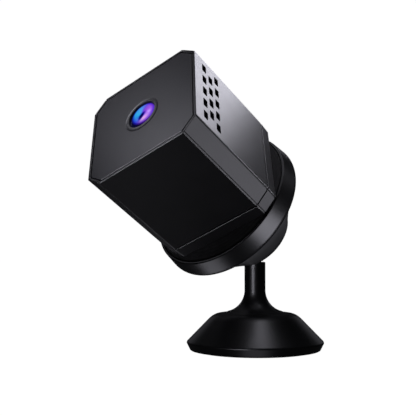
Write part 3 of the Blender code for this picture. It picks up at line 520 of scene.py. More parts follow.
def cell_wrap():
    """Heat-shrunk film on the battery: blue, tight and glossy."""
    return grained("heat_shrink_film", linear("#2b56a8"), 0.28, 2.5 * MM, 0.02 * MM)


def amber_film():
    """Polyimide film: clear amber brown over copper."""
    return grained("polyimide_film", linear("#b8742a"), 0.3, 1.5 * MM, 0.01 * MM)


def diffuser():
    """Frosted polycarbonate: milky and pale."""
    return grained("frosted_polycarbonate", linear("#dfe6ea"), 0.35, 0.3 * MM, 0.004 * MM, ior=1.58)


def solder_mask():
    """Fibreglass board under green solder mask: copper tracks show as a lighter green relief."""
    made, tree, shader, place = blank("solder_mask_board")
    shader.inputs["Roughness"].default_value = 0.35
    tracks = add(
        tree,
        "ShaderNodeTexBrick",
        {
            "Vector": along_head(tree, place, HEAD.translation),
            "Scale": 1.0,
            "Brick Width": 3.1 * MM,
            "Row Height": 0.9 * MM,
            "Mortar Size": 0.12 * MM,
            "Color1": linear("#0f5a34"),
            "Color2": linear("#0c4a2c"),
            "Mortar": linear("#2f8f57"),
        },
    )
    tree.links.new(tracks.outputs["Color"], shader.inputs["Base Color"])
    bump = add(tree, "ShaderNodeBump", {"Height": tracks.outputs["Fac"], "Distance": 0.02 * MM})
    tree.links.new(bump.outputs["Normal"], shader.inputs["Normal"])
    return made


def painted_reflection_glass():
    """Optical glass with a broadband coating, its light painted: a painted reflection of the coating turns from
    cyan to pink round a deep, painted dark pupil, with painted shade towards the rim and a painted glow.
    """
    made, tree, shader, place = blank("coated_optical_glass")
    middle = middle_of(GLASS_LOW, GLASS_HIGH)
    axes = add(tree, "ShaderNodeSeparateXYZ", {"Vector": along_head(tree, place, HEAD @ middle)})
    x, y = axes.outputs["X"], axes.outputs["Y"]
    pupil_x, pupil_y = 0.33 * MM, -1.3 * MM  # painted dark pupil: the pupil lies deep, so its painted shade shows off the middle
    # centre of the painted lit area; the painted shade below deepens away from it towards the rim
    glow_x, glow_y = 0.55 * MM, 0.25 * MM
    pupil_radius, slant, narrow = 2.4 * MM, math.radians(42), 0.45
    cosine, sine = math.cos(slant), math.sin(slant)
    across, up = maths(tree, "SUBTRACT", x, pupil_x), maths(tree, "SUBTRACT", y, pupil_y)
    from_glow = maths(tree, "SUBTRACT", x, glow_x), maths(tree, "SUBTRACT", y, glow_y)
    edge = maths(tree, "DIVIDE", length_of(tree, *from_glow), GLASS_HIGH.x)
    aside = maths(tree, "SUBTRACT", scaled(tree, up, cosine), scaled(tree, across, sine))
    along = maths(tree, "ADD", scaled(tree, up, sine), scaled(tree, across, cosine))
    reach = length_of(tree, scaled(tree, along, narrow), aside)
    radius = maths(tree, "DIVIDE", reach, pupil_radius)
    # painted reflection: the coating's colours, set by the angle round the pupil
    angle = maths(tree, "DIVIDE", maths(tree, "ARCTAN2", up, across), 2 * math.pi)
    sky, cyan = linear("#3a86f0"), SETTINGS.finish.painted_reflection_blue
    hues = gradient(
        tree,
        maths(tree, "ADD", angle, 0.5),
        [
            (0.00, sky),
            (0.08, linear("#6a8cff")),
            (0.19, linear("#ffd2ff")),
            (0.34, linear("#ffc0ff")),
            (0.51, SETTINGS.finish.painted_reflection_violet),
            (0.63, linear("#a04cec")),
            (0.69, linear("#6a48ee")),
            (0.76, linear("#46a6fa")),
            (0.87, cyan),
            (0.95, linear("#2c92e6")),
            (1.00, sky),
        ],
    )
    # painted dark pupil: painted shade inside the lens, deepest in the middle and clear further out
    pupil_stops = [(0.12, linear("#060450")), (0.22, linear("#3c30b0")), (0.42, linear("#ffffff"))]
    pupil = gradient(tree, radius, pupil_stops)
    # painted shade: the glass darkens from the lit area towards its rim
    shade = gradient(
        tree,
        edge,
        [
            (0.60, linear("#ffffff")),
            (0.76, linear("#a890ea")),
            (0.88, linear("#4a26a0")),
            (0.98, linear("#0a0632")),
        ],
    )
    # the painted reflection, painted pupil and painted shade multiplied into one colour
    mixed = hues
    for other in (pupil, shade):
        links = {0: 1.0, 6: mixed, 7: other}  # the share, and the two colours
        mixed = add(tree, "ShaderNodeMix", links, data_type="RGBA", blend_type="MULTIPLY").outputs[2]
    tree.links.new(mixed, shader.inputs["Base Color"])
    shader.inputs["Roughness"].default_value = 0.2
    shader.inputs["IOR"].default_value = 1.6
    shader.inputs["Coat Weight"].default_value = 0.6
    shader.inputs["Coat Roughness"].default_value = 0.05
    # painted glow: the painted colours shine of their own, though the glass is no lamp
    shader.inputs["Emission Strength"].default_value = 0.9
    tree.links.new(mixed, shader.inputs["Emission Color"])
    return made


def clear_glass():
    """Polished glass of the inner lenses and the filter, with a faint magenta coating."""
    made, tree, shader, place = blank("polished_inner_glass")
    cloud = add(tree, "ShaderNodeTexNoise", {"Vector": place, "Scale": per(4 * MM)})
    tint = gradient(tree, cloud.outputs["Fac"], [(0.3, linear("#5a4a80")), (0.7, linear("#7a5f9a"))])
    tree.links.new(tint, shader.inputs["Base Color"])
    shader.inputs["Roughness"].default_value = 0.05
    shader.inputs["IOR"].default_value = 1.55
    shader.inputs["Coat Weight"].default_value = 1.0
    return made


FINISHES = {
    "case": satin_abs,
    "front_panel": infrared_panel,
    "bezel": painted_ring,
    "lens_glass": clear_glass,
    "lens_barrel": anodised_black,
    "dark_resin": chip_resin,
    "circuit_board": solder_mask,
    "tinned_steel": tin_plate,
    "amber_film": amber_film,
    "cell_wrap": cell_wrap,
    "rubber": silicone_rubber,
    "zinc_steel": zinc_plate,
    "nickel_magnet": nickel_plate,
    "nylon": moulded_nylon,
    "clear_diffuser": diffuser,
}
MADE = {}


def finish_of(slot):
    """The one material of a record slot, made when first asked for."""
    if slot not in MADE:
        MADE[slot] = FINISHES[slot]()
    return MADE[slot]


# ---------------------------------------------------------------- the case


def case_outline(half, sizes, grooved=True):
    """The octagon at a half width: rounded long edges, each with a fine groove beside it."""
    cut_back = sizes.chamfer - (SHELL_HIGH.x - half) * (2 - math.sqrt(2))
    first, second = Vector((half, half - cut_back)), Vector((half - cut_back, half))
    along = (second - first).normalized()
    inward = Vector((-1, -1)).normalized()
    depth = sizes.groove_depth if grooved else 0.0
    near, far = sizes.groove_land, sizes.groove_land + sizes.groove_width
    soft, steep = 0.05 * MM, 0.03 * MM  # how far the groove's lip and its wall lean
    lip = min(soft, depth)
    steps = [(near - soft, 0), (near, lip), (near + steep, depth)]
    steps += [(far - steep, depth), (far, lip), (far + soft, 0)]
    turned = eased(first - Vector((0, sizes.edge)), first, first + along * sizes.edge, 3)
    corner = [Vector(point) for point in turned]
    corner += [first + along * reach + inward * sunk for reach, sunk in steps]
    mirrored = [Vector((point.y, point.x)) for point in corner[::-1]]
    found = []
    for turn in range(4):
        spin = Matrix.Rotation(math.radians(90 * turn), 2)
        found += [tuple(spin @ point) for point in corner + mirrored]
    return found


def case_shell_mesh(sizes):
    """The shell as one closed band: outer skin, rounded rim, rebate, ledge and inner wall."""
    half, rear, front = SHELL_HIGH.x, SHELL_LOW.z, SHELL_HIGH.z
    edge, rim, wall = sizes.edge, sizes.rim, sizes.wall
    gap, thick, wide = 0.3 * MM, 0.8 * MM, 1.6 * MM  # the ledge's gap, thickness and width
    ledge_front = PANEL_LOW.z - gap
    ledge_back = ledge_front - thick
    ledge = rim + wide
    skin = eased((edge, rear), (0, rear), (0, rear + edge), 3)
    skin += eased((0, front - edge), (0, front), (edge, front), 3)
    inner = eased((rim - edge / 2, front), (rim, front), (rim, front - edge / 2), 2)
    inner += [(rim, ledge_front), (ledge, ledge_front), (ledge, ledge_back), (wall, ledge_back)]
    inner += [(wall, rear)]
    shape = bmesh.new()
    rings = []
    for profile, grooved in ((skin, True), (inner, False)):
        for inset, height in profile:
            outline = case_outline(half - inset, sizes, grooved)
            rings.append([shape.verts.new((x, y, height)) for x, y in outline])
    for first, second in zip(rings, rings[1:] + rings[:1]):
        bridge_pair(shape, first, second)
    return shape


def flared_hole(outline, wider, wall, mouth):
    """A cutter along z: outline through the wall up to z = 0, opening out to wider by mouth."""
    return pushed([(outline, -wall), (outline, -mouth), (wider, 0), (wider, mouth)])


def slot_cutter(sizes):
    """One flared cutter for the grille, laid along x with its mouth outwards."""
    mouth, reach = sizes.slot_mouth, sizes.wall + 1 * MM
    outlines = [
        rounded_box(sizes.slot_width + 2 * grow, sizes.slot_length + 2 * grow, sizes.slot_corner + grow)
        for grow in (0, mouth)
    ]
    made = workpiece("slot_cutter", flared_hole(*outlines, reach, mouth))
    made.data.transform(Matrix.Rotation(math.radians(90), 4, "Y"))
    made.hide_render = True
    return made


def node_group(name, inputs):
    """A new Geometry Nodes tree with inputs of the kinds given, and its group input's outputs."""
    tree = bpy.data.node_groups.new(name, "GeometryNodeTree")
    for socket, kind in inputs.items():
        tree.interface.new_socket(socket, in_out="INPUT", socket_type="NodeSocket" + kind)
    tree.interface.new_socket("Geometry", in_out="OUTPUT", socket_type="NodeSocketGeometry")
    return tree, add(tree, "NodeGroupInput").outputs


def lead_out(tree, geometry, material):
    """Ends a tree: instances made real, with their material."""
    whole = add(tree, "GeometryNodeRealizeInstances", {"Geometry": geometry})
    links = {"Geometry": whole.outputs[0], "Material": material}
    ended = add(tree, "GeometryNodeSetMaterial", links)
    add(tree, "NodeGroupOutput", {"Geometry": ended.outputs[0]})


def grille_tree():
    """Node tree that cuts staggered columns of slots through the wall that it is given."""
    tree, given = node_group(
        "staggered_slots",
        {
            "Geometry": "Geometry",
            "Cutter": "Object",
            "Columns": "Int",
            "Rows": "Int",
            "Column Step": "Float",
            "Row Step": "Float",
            "Middle": "Vector",
            "Material": "Material",
        },
    )
    lines = maths(tree, "SUBTRACT", scaled(tree, given["Rows"], 2.0), 1.0)
    long = maths(tree, "MULTIPLY", maths(tree, "SUBTRACT", given["Columns"], 1.0), given["Column Step"])
    tall = maths(tree, "MULTIPLY", maths(tree, "SUBTRACT", given["Rows"], 1.0), given["Row Step"])
    grid = add(
        tree,
        "GeometryNodeMeshGrid",
        {"Size X": long, "Size Y": tall, "Vertices X": given["Columns"], "Vertices Y": lines},
    )
    index = add(tree, "GeometryNodeInputIndex").outputs[0]
    column = maths(tree, "FLOOR", maths(tree, "DIVIDE", index, lines), 0.0)
    row = maths(tree, "MODULO", index, lines)
    odd = maths(tree, "MODULO", maths(tree, "ADD", column, row), 2.0)
    kept = add(
        tree,
        "GeometryNodeDeleteGeometry",
        {"Geometry": grid.outputs["Mesh"], "Selection": maths(tree, "GREATER_THAN", odd, 0.5)},
        domain="POINT",
    )
    laid = add(
        tree,
        "GeometryNodeTransform",
        {
            "Geometry": kept.outputs[0],
            "Translation": given["Middle"],
            "Rotation": (0.0, math.radians(-90), 0.0),
        },
    )
    cutter = add(tree, "GeometryNodeObjectInfo", {"Object": given["Cutter"]})
    copies = add(
        tree,
        "GeometryNodeInstanceOnPoints",
        {"Points": laid.outputs[0], "Instance": cutter.outputs["Geometry"]},
    )
    solid = add(tree, "GeometryNodeRealizeInstances", {"Geometry": copies.outputs[0]})
    # MANIFOLD, because the EXACT solver leaves one row of the slots closed
    opened = add(
        tree,
        "GeometryNodeMeshBoolean",
        {0: given["Geometry"], 1: solid.outputs[0]},
        operation="DIFFERENCE",
        solver="MANIFOLD",
    )
    lead_out(tree, opened.outputs["Mesh"], given["Material"])
    return tree


def run_tree(target, tree, values):
    """Runs a node tree on target with inputs by name, and keeps the result as its plain mesh."""
    change = target.modifiers.new(tree.name, "NODES")
    change.node_group = tree
    for item in tree.interface.items_tree:
        if item.in_out == "INPUT" and item.name in values:
            change[item.identifier] = values[item.name]
    target.data = evaluated(target)
    target.modifiers.clear()


def bore(radius, mouth, depth, steps=SMALL):
    """A round cutter along z up to z = 0, its mouth opened by a small chamfer."""
    wide = radius + mouth
    profile = [(0, -depth), (radius, -depth), (radius, -mouth), (wide, 0), (wide, mouth), (0, mouth)]
    return lathe(profile, steps)


def cutter_at(name, shape, place):
    """A cutter object, moved to its place."""
    made = workpiece(name, shape)
    made.data.transform(place)
    return made


def to_left(half):
    """Lays z along -x, so that a cutter's mouth is on the case's left face."""
    return Matrix.Translation((-half, 0, 0)) @ Matrix.Rotation(math.radians(-90), 4, "Y")


def to_top(x, half, z):
    """Lays z along +y, so that a cutter's mouth is on the case's top face."""
    return Matrix.Translation((x, half, z)) @ Matrix.Rotation(math.radians(-90), 4, "X")


def port_outline(low, high, grow, corner):
    """Outline of a port of the left face, grown on every side, to be pushed along z."""
    size, centre = high - low, middle_of(low, high)
    return rounded_box(size.z + 2 * grow, size.y + 2 * grow, corner, (centre.z, centre.y))


class CAMERA_OT_case_shell(bpy.types.Operator):
    """Makes the octagonal shell with its grille, ports and button holes"""

    bl_idname = "security_camera.case_shell"
    bl_label = "Case shell"

    def execute(self, context):
        sizes = context.scene.security_camera.case
        shell = workpiece("case_shell", case_shell_mesh(sizes))
        cut(shell, [*self.port_holes(), *self.button_holes()])
        self.grille(shell, sizes)
        settle(shell, HEAD, "head", ["main_shell"], "case", 30)
        return {"FINISHED"}

    def port_holes(self):
        """Cutters for the charging socket and the memory card, in the left face."""
        gap, mouth, depth = 0.3 * MM, 0.15 * MM, 3 * MM
        holes = []
        for name, low, high, corner in (
            ("usb_hole", USB_LOW, USB_HIGH, USB_CORNER),
            ("card_hole", CARD_LOW, CARD_HIGH, 0.4 * MM),
        ):
            outlines = [port_outline(low, high, gap + grow, corner + grow) for grow in (0, mouth)]
            holes.append(cutter_at(name, flared_hole(*outlines, depth, mouth), to_left(SHELL_HIGH.x)))
        return holes

    def button_holes(self):
        """Cutters for the two buttons and the status light, in the top face."""
        mouth, depth = 0.15 * MM, 3 * MM
        holes = []
        for name, low, high, radius in (
            ("power_hole", POWER_LOW, POWER_HIGH, 2.2 * MM),
            ("reset_hole", RESET_LOW, RESET_HIGH, 1.2 * MM),
            ("light_hole", LIGHT_LOW, LIGHT_HIGH, 1.1 * MM),
        ):
            centre = middle_of(low, high)
            place = to_top(centre.x, SHELL_HIGH.x, centre.z)
            holes.append(cutter_at(name, bore(radius, mouth, depth), place))
        return holes

    def grille(self, shell, sizes):
        """Cuts the staggered slots through the shell's right wall."""
        slot = slot_cutter(sizes)
        along = sizes.column_step * (sizes.columns - 1)
        forward = SHELL_HIGH.z - sizes.grille_front - along / 2
        values = {
            "Cutter": slot,
            "Columns": sizes.columns,
            "Rows": sizes.rows,
            "Column Step": sizes.column_step,
            "Row Step": sizes.row_step,
            "Middle": (SHELL_HIGH.x, 0.0, forward),
            "Material": finish_of("case"),
        }
        run_tree(shell, grille_tree(), values)
        bpy.data.objects.remove(slot)


class CAMERA_OT_rear_cap(bpy.types.Operator):
    """Makes the cap that closes the case's rear, with its disc and the holes for its screws"""

    bl_idname = "security_camera.rear_cap"
    bl_label = "Rear cap"

    def execute(self, context):
        sizes = context.scene.security_camera.case
        gap, collar, floor = 0.3 * MM, 1.1 * MM, 2.2 * MM
        half, front = SHELL_HIGH.x, SHELL_LOW.z - gap
        edge, taper = sizes.edge, sizes.cap_taper
        fit = sizes.wall + gap
        profile = eased((taper + edge, 0), (taper, 0), (taper, edge), 3)
        profile += eased((0, front - edge), (0, front), (edge, front), 3)
        levels = [(case_outline(half - inset, sizes), height) for inset, height in profile]
        spigot = [(fit, front), (fit, CAP_HIGH.z), (fit + collar, CAP_HIGH.z), (fit + collar, floor)]
        levels += [(case_outline(half - inset, sizes, False), height) for inset, height in spigot]
        cap = workpiece("rear_cover", pushed(levels))
        turn = Matrix.Rotation(math.radians(180), 4, "X")
        disc_hole = bore(DISC_HIGH.x + gap, gap / 2, DISC_HIGH.z + gap, ROUND)
        holes = [cutter_at("disc_hole", disc_hole, turn)]
        for spot in screw_spots():
            sink = lathe(screw_hole_profile())
            holes.append(cutter_at("screw_hole", sink, Matrix.Translation(spot)))
        cut(cap, holes)
        settle(cap, HEAD, "head", ["rear_cap"], "case", 30)
        disc = workpiece("steel_disc", round_plate(DISC_HIGH.x, DISC_HIGH.z, 0.15 * MM))
        settle(disc, HEAD, "head", ["cling_disc"], "zinc_steel")
        return {"FINISHED"}


def screw_spots():
    """Where the four screws go into the cap's rear."""
    middle = abs(middle_of(SCREW_LOW, SCREW_HIGH).x)
    return [Vector((sx * middle, sy * middle, 0)) for sx in (-1, 1) for sy in (-1, 1)]


def screw_hole_profile():
    """A countersunk hole with room round the screw."""
    head, gap = (SCREW_HIGH.x - SCREW_LOW.x) / 2, 0.3 * MM
    shank, outside, inside = head / 2, -1 * MM, 4 * MM
    sunk = 2 * gap
    return [
        (0, outside),
        (head + gap, outside),
        (head + gap, sunk),
        (shank + gap, sunk + shank),
        (shank + gap, inside),
        (0, inside),
    ]


def screw_mesh():
    """A countersunk screw with a coarse plastic thread; its cross recess is cut afterwards."""
    head = (SCREW_HIGH.x - SCREW_LOW.x) / 2
    shank, core = head / 2, head / 2 * 0.8
    top, tip = SCREW_LOW.z, SCREW_HIGH.z
    edge, land, pitch = 0.08 * MM, 0.25 * MM, 0.8 * MM
    under = top + land + shank
    profile = [(0, top), (head - edge, top), (head, top + edge), (head, top + land), (core, under)]
    turns = int((tip - under - 1.5 * MM) / pitch)
    for i in range(turns):
        low = under + 0.4 * MM + i * pitch
        profile += [(core, low), (shank, low + pitch * 0.4), (core, low + pitch * 0.8)]
    profile += [(shank * 0.7, tip - 0.8 * MM), (0, tip)]
    return lathe(profile, 32)


def screw_tree():
    """Node tree that sets one screw at each corner of a square."""
    inputs = {"Geometry": "Geometry", "Apart": "Float", "Material": "Material"}
    tree, given = node_group("four_screws", inputs)
    corners = add(
        tree,
        "GeometryNodeMeshGrid",
        {"Size X": given["Apart"], "Size Y": given["Apart"], "Vertices X": 2, "Vertices Y": 2},
    )
    copies = add(
        tree,
        "GeometryNodeInstanceOnPoints",
        {"Points": corners.outputs["Mesh"], "Instance": given["Geometry"]},
    )
    lead_out(tree, copies.outputs[0], given["Material"])
    return tree


class CAMERA_OT_case_screws(bpy.types.Operator):
    """Makes the four countersunk screws of the rear cap"""

    bl_idname = "security_camera.case_screws"
    bl_label = "Case screws"

    def execute(self, context):
        screws = workpiece("case_screws", screw_mesh())
        top = SCREW_LOW.z
        arm, thick, deep = 2.2 * MM, 0.45 * MM, 0.7 * MM
        corner, outside = 0.1 * MM, 1 * MM
        recess = []
        for wide, high in ((arm, thick), (thick, arm)):
            outline = rounded_box(wide, high, corner, steps=2)
            tip = rounded_box(wide / 2, high / 2, corner / 2, steps=2)
            shape = pushed([(outline, top - outside), (outline, top), (tip, top + deep)])
            recess.append(workpiece("cross_recess", shape))
        cut(screws, recess)
        values = {"Apart": 2 * screw_spots()[-1].x, "Material": finish_of("zinc_steel")}
        run_tree(screws, screw_tree(), values)
        nodes = [f"cap_screw_{number}" for number in range(1, 5)]
        settle(screws, HEAD, "head", nodes, "zinc_steel")
        return {"FINISHED"}


class CAMERA_OT_front(bpy.types.Operator):
    """Makes the front panel and the lens"""

    bl_idname = "security_camera.front"
    bl_label = "Front panel and lens"

    def execute(self, context):
        self.panel(context.scene.security_camera.case)
        ring = workpiece("lens_ring", lathe(self.ring_profile()))
        settle(ring, HEAD, "head", ["lens_bezel"], "bezel")
        glass = workpiece("lens_dome", lathe(self.glass_profile()))
        # the glass's colours are a painted reflection, painted shade and a painted glow
        settle(glass, HEAD, "head", ["front_lens"], "lens_glass", 40, painted_reflection_glass())
        PIECES["head"].remove(glass)  # the glass is lit by its own lamp alone
        PIECES["lens"] = [glass]
        PIECES["ring"] = [ring]
        return {"FINISHED"}

    def panel(self, sizes):
        """The octagonal plate with its round opening for the lens."""
        half, low, high = PANEL_HIGH.x, PANEL_LOW.z, PANEL_HIGH.z
        edge, mouth, past = 0.14 * MM, 0.04 * MM, 1 * MM
        profile = [(0, low), *eased((0, high - edge), (0, high), (edge, high), 3)]
        levels = [(case_outline(half - inset, sizes, False), height) for inset, height in profile]
        plate = workpiece("front_plate", pushed(levels))
        hole = bore(BEZEL_HIGH.x + 0.1 * MM, mouth, high - low + past, ROUND)
        cut(plate, [cutter_at("lens_hole", hole, Matrix.Translation((0, 0, high)))])
        settle(plate, HEAD, "head", ["front_panel"], "front_panel", 30)

    def glass_profile(self):
        """A short rim under a shallow dome."""
        radius, back, top = GLASS_HIGH.x, GLASS_LOW.z, GLASS_HIGH.z
        edge_height = back + 0.7 * MM
        bulge = top - edge_height
        sphere = (radius**2 + bulge**2) / (2 * bulge)
        reach = math.degrees(math.asin(radius / sphere))
        dome = arc((0, top - sphere), sphere, 90 - reach, 90, 16)[:-1] + [(0, top)]
        return [(0, back), (radius, back), *dome]

    def ring_profile(self):
        """A low ring whose sloped edge covers its gap in the panel, with a fine step at the glass."""
        outer, back = BEZEL_HIGH.x, BEZEL_LOW.z
        inner = GLASS_HIGH.x + 0.15 * MM
        lip, seat = outer + 0.22 * MM, PANEL_HIGH.z + 0.02 * MM
        crown = seat + 0.14 * MM
        profile = [(inner, back), (outer, back), (outer, seat), (lip, seat), (lip, seat + 0.03 * MM)]
        profile += [(lip - 0.38 * MM, crown), (inner + 0.2 * MM, crown)]
        profile += [(inner + 0.12 * MM, crown - 0.06 * MM), (inner + 0.1 * MM, crown - 0.2 * MM)]
        profile.append((inner, crown - 0.22 * MM))
        return profile


class CAMERA_OT_controls(bpy.types.Operator):
    """Makes the buttons, the status light, the charging socket and the memory card"""

    bl_idname = "security_camera.controls"
    bl_label = "Buttons and ports"

    def execute(self, context):
        self.keys()
        self.socket()
        self.card()
        return {"FINISHED"}

    def keys(self):
        """Turned keys with a flange under the top face; the two that are pressed are dished."""
        flange_top = SHELL_HIGH.x - 1.9 * MM
        flange_low = flange_top - 0.6 * MM
        edge = 0.22 * MM
        for name, node, slot, low, high, radius, dish in (
            ("power_key", "power_button", "case", POWER_LOW, POWER_HIGH, 1.9 * MM, 0.12 * MM),
            ("reset_key", "reset_button", "nylon", RESET_LOW, RESET_HIGH, 0.9 * MM, 0.08 * MM),
            ("light_window", "status_light", "clear_diffuser", LIGHT_LOW, LIGHT_HIGH, 0.8 * MM, 0.0),
        ):
            body = "head" if node == "status_light" else node  # each button is a body of its own
            centre, flange = middle_of(low, high), (high.x - low.x) / 2
            profile = [(0, low.y), (radius * 0.6, low.y), (radius * 0.6, flange_low), (flange, flange_low)]
            profile += [(flange, flange_top), (radius, flange_top)]
            profile += eased((radius, high.y - edge), (radius, high.y), (radius - edge, high.y), 4)
            profile += [(radius * 0.5, high.y - dish * 0.8), (0, high.y - dish)]
            key = workpiece(name, lathe(profile, SMALL))
            key.data.transform(to_top(centre.x, 0, centre.z))
            settle(key, HEAD, body, [node], slot)

    def socket(self):
        """A drawn steel sleeve, rounded at its mouth, round a contact tongue."""
        centre = middle_of(USB_LOW, USB_HIGH)
        skin, lip, behind, tongue_front = 0.45 * MM, 0.15 * MM, 1.1 * MM, 1.1 * MM
        front, back = -USB_LOW.x, -USB_HIGH.x
        insets = [(0, back), (0, front - lip), (lip, front), (skin - lip, front), (skin, front - lip)]
        insets.append((skin, back + behind))
        levels = [
            (port_outline(USB_LOW, USB_HIGH, -inset, USB_CORNER - inset), at) for inset, at in insets
        ]
        sleeve = workpiece("usb_sleeve", pushed(levels))
        blade = rounded_box(0.7 * MM, 5.6 * MM, 0.2 * MM, (centre.z, centre.y), 2)
        tongue = pushed([(blade, back + 0.5 * MM), (blade, front - tongue_front)])
        cut(sleeve, [workpiece("usb_blade", tongue)], "UNION")
        sleeve.data.transform(Matrix.Rotation(math.radians(-90), 4, "Y"))
        settle(sleeve, HEAD, "head", ["usb_socket"], "tinned_steel")

    def card(self):
        """A thin card with round corners and softened edges."""
        edge, corner = 0.1 * MM, 0.2 * MM
        whole, inset = (port_outline(CARD_LOW, CARD_HIGH, -size, corner) for size in (0, edge))
        front, back = -CARD_LOW.x, -CARD_HIGH.x
        levels = [(inset, back), (whole, back + edge), (whole, front - edge), (inset, front)]
        card = workpiece("memory_chip_card", pushed(levels))
        card.data.transform(Matrix.Rotation(math.radians(-90), 4, "Y"))
        settle(card, HEAD, "memory_card", ["memory_card"], "dark_resin")


class CAMERA_OT_bracket(bpy.types.Operator):
    """Makes the round bracket with its cup and grip pad"""

    bl_idname = "security_camera.bracket"
    bl_label = "Bracket"

    def execute(self, context):
        sizes = context.scene.security_camera.stand
        cup = workpiece("bracket_cup", lathe(self.profile(sizes)))
        settle(cup, BRACKET, "bracket", ["bracket_shell"], "case")
        pad = workpiece("grip_face", lathe(self.pad_profile()))
        settle(pad, BRACKET, "bracket", ["grip_pad"], "rubber", 60)
        return {"FINISHED"}

    def profile(self, sizes):
        """From the cup's mouth along its swelling side and the rim, then back inside."""
        radius, lip, front = CUP_HIGH.x, CUP_LOW.z, CUP_HIGH.z
        draw = 0.6 * MM  # how far the rim draws in towards its front
        hollow = radius - draw - sizes.bracket_wall
        rear = front - sizes.rim_depth
        cup, cup_lip, mouth = sizes.cup_radius, sizes.cup_lip, 9.7 * MM
        magnet, magnet_gap = 3.2 * MM, 0.6 * MM
        floor = PAD_LOW.z - magnet - magnet_gap
        start = Vector((cup, 0.0))
        end = Vector((radius - 0.7 * MM, rear - 0.7 * MM))
        side = []
        steps = 24
        for i in range(steps + 1):
            share = i / steps
            swell = 0.8 * MM * math.sin(math.pi * share)
            side.append((start.x + (end.x - start.x) * share, end.y * share + swell))
        edge = eased(side[-1], (radius, rear - 0.1 * MM), (radius - 0.06 * MM, rear + 0.9 * MM), 8)[1:]
        rim_edge = (radius - draw, front)
        rim = eased((radius - 0.57 * MM, front - 0.3 * MM), rim_edge, (radius - 0.9 * MM, front), 6)
        lips = eased((mouth + 0.3 * MM, lip), (cup_lip, lip), (cup_lip + 0.15 * MM, lip + 0.5 * MM), 4)
        inside = [(hollow + 0.2 * MM, front), (hollow, front - 0.2 * MM), (hollow, floor), (0, floor)]
        seat_room = 1.45 * MM  # the seat's floor and the gaps on both of its sides
        socket = SLEEVE_HIGH.x + seat_room
        inside += [(0, socket), (mouth, socket), (mouth, lip + 0.2 * MM)]
        return [*lips, *side, *edge, *rim, *inside]

    def pad_profile(self):
        """A flat pad whose face carries fine concentric ribs."""
        radius, low, high = PAD_HIGH.x + 0.45 * MM, PAD_LOW.z, PAD_HIGH.z
        pitch, depth, edge, border = 1.2 * MM, 0.08 * MM, 0.25 * MM, 0.6 * MM
        face = eased((radius, high - edge), (radius, high), (radius - edge, high), 3)
        count = int((radius - border) / pitch)
        for i in range(count):
            middle = radius - border - (i + 0.5) * pitch
            face += [(middle + pitch * 0.3, high), (middle, high - depth), (middle - pitch * 0.3, high)]
        face = [point for point in face if point[0] > 0.05 * MM]
        return [(0, low), (radius, low), *face, (0, high)]


class CAMERA_OT_ball_joint(bpy.types.Operator):
    """Makes the ball, its sleeve and the pieces that hold them"""

    bl_idname = "security_camera.ball_joint"
    bl_label = "Ball joint"

    def execute(self, context):
        self.sleeve()
        self.pin()
        self.ring()
        return {"FINISHED"}

    def sleeve(self):
        """A thin cover over the ball, open below where the stem leaves it."""
        outer, wall, mouth_angle = SLEEVE_HIGH.x, 1.25 * MM, -55
        inner = outer - wall
        skin = arc((0, 0), outer, mouth_angle, 90, 40)[:-1] + [(0, outer)]
        core = [(0, inner)] + arc((0, 0), inner, 90, mouth_angle, 40)[1:]
        made = workpiece("ball_cover", lathe([*skin, *core]))
        settle(made, Matrix.Translation(BALL_CENTRE), "ball_sleeve", ["ball_sleeve"], "nylon", 40)

    def pin(self):
        """The steel ball, waisted where it meets the pin that runs down the neck."""
        centre, radius, shaft, waist = BALL_CENTRE.z, STEM_HIGH.x, 1.9 * MM, 2.2 * MM
        low, neck_top = STEM_LOW.z, FOOT_HIGH.z + 0.3 * MM
        open_angle = math.degrees(math.acos(waist / radius))
        ball = arc((0, centre), radius, -open_angle, 90, 40)[:-1] + [(0, STEM_HIGH.z)]
        stem = [(0, low), (shaft, low), (shaft, neck_top), (waist + 0.5 * MM, neck_top)]
        stem += eased(stem[-1], (waist, neck_top), (waist, neck_top + 0.6 * MM), 4)[1:]
        made = workpiece("ball_pin", lathe([*stem, *ball]))
        settle(made, STAND, "stand", ["ball_stem"], "zinc_steel", 40)

    def ring(self):
        """The ring in the cup's mouth that keeps the sleeve in."""
        inner, outer, top = SLEEVE_HIGH.x + 0.15 * MM, RING_HIGH.x, RING_HIGH.z
        edge, lip = 0.15 * MM, CUP_LOW.z + 0.2 * MM
        grip = arc((0, 0), inner, -14, math.degrees(math.asin(top / inner)), 12)
        profile = [*grip, (outer, top), (outer, lip + edge), (outer - edge, lip)]
        made = workpiece("ball_ring", lathe(profile))
        settle(made, BRACKET, "bracket", ["retaining_ring"], "nylon", 40)


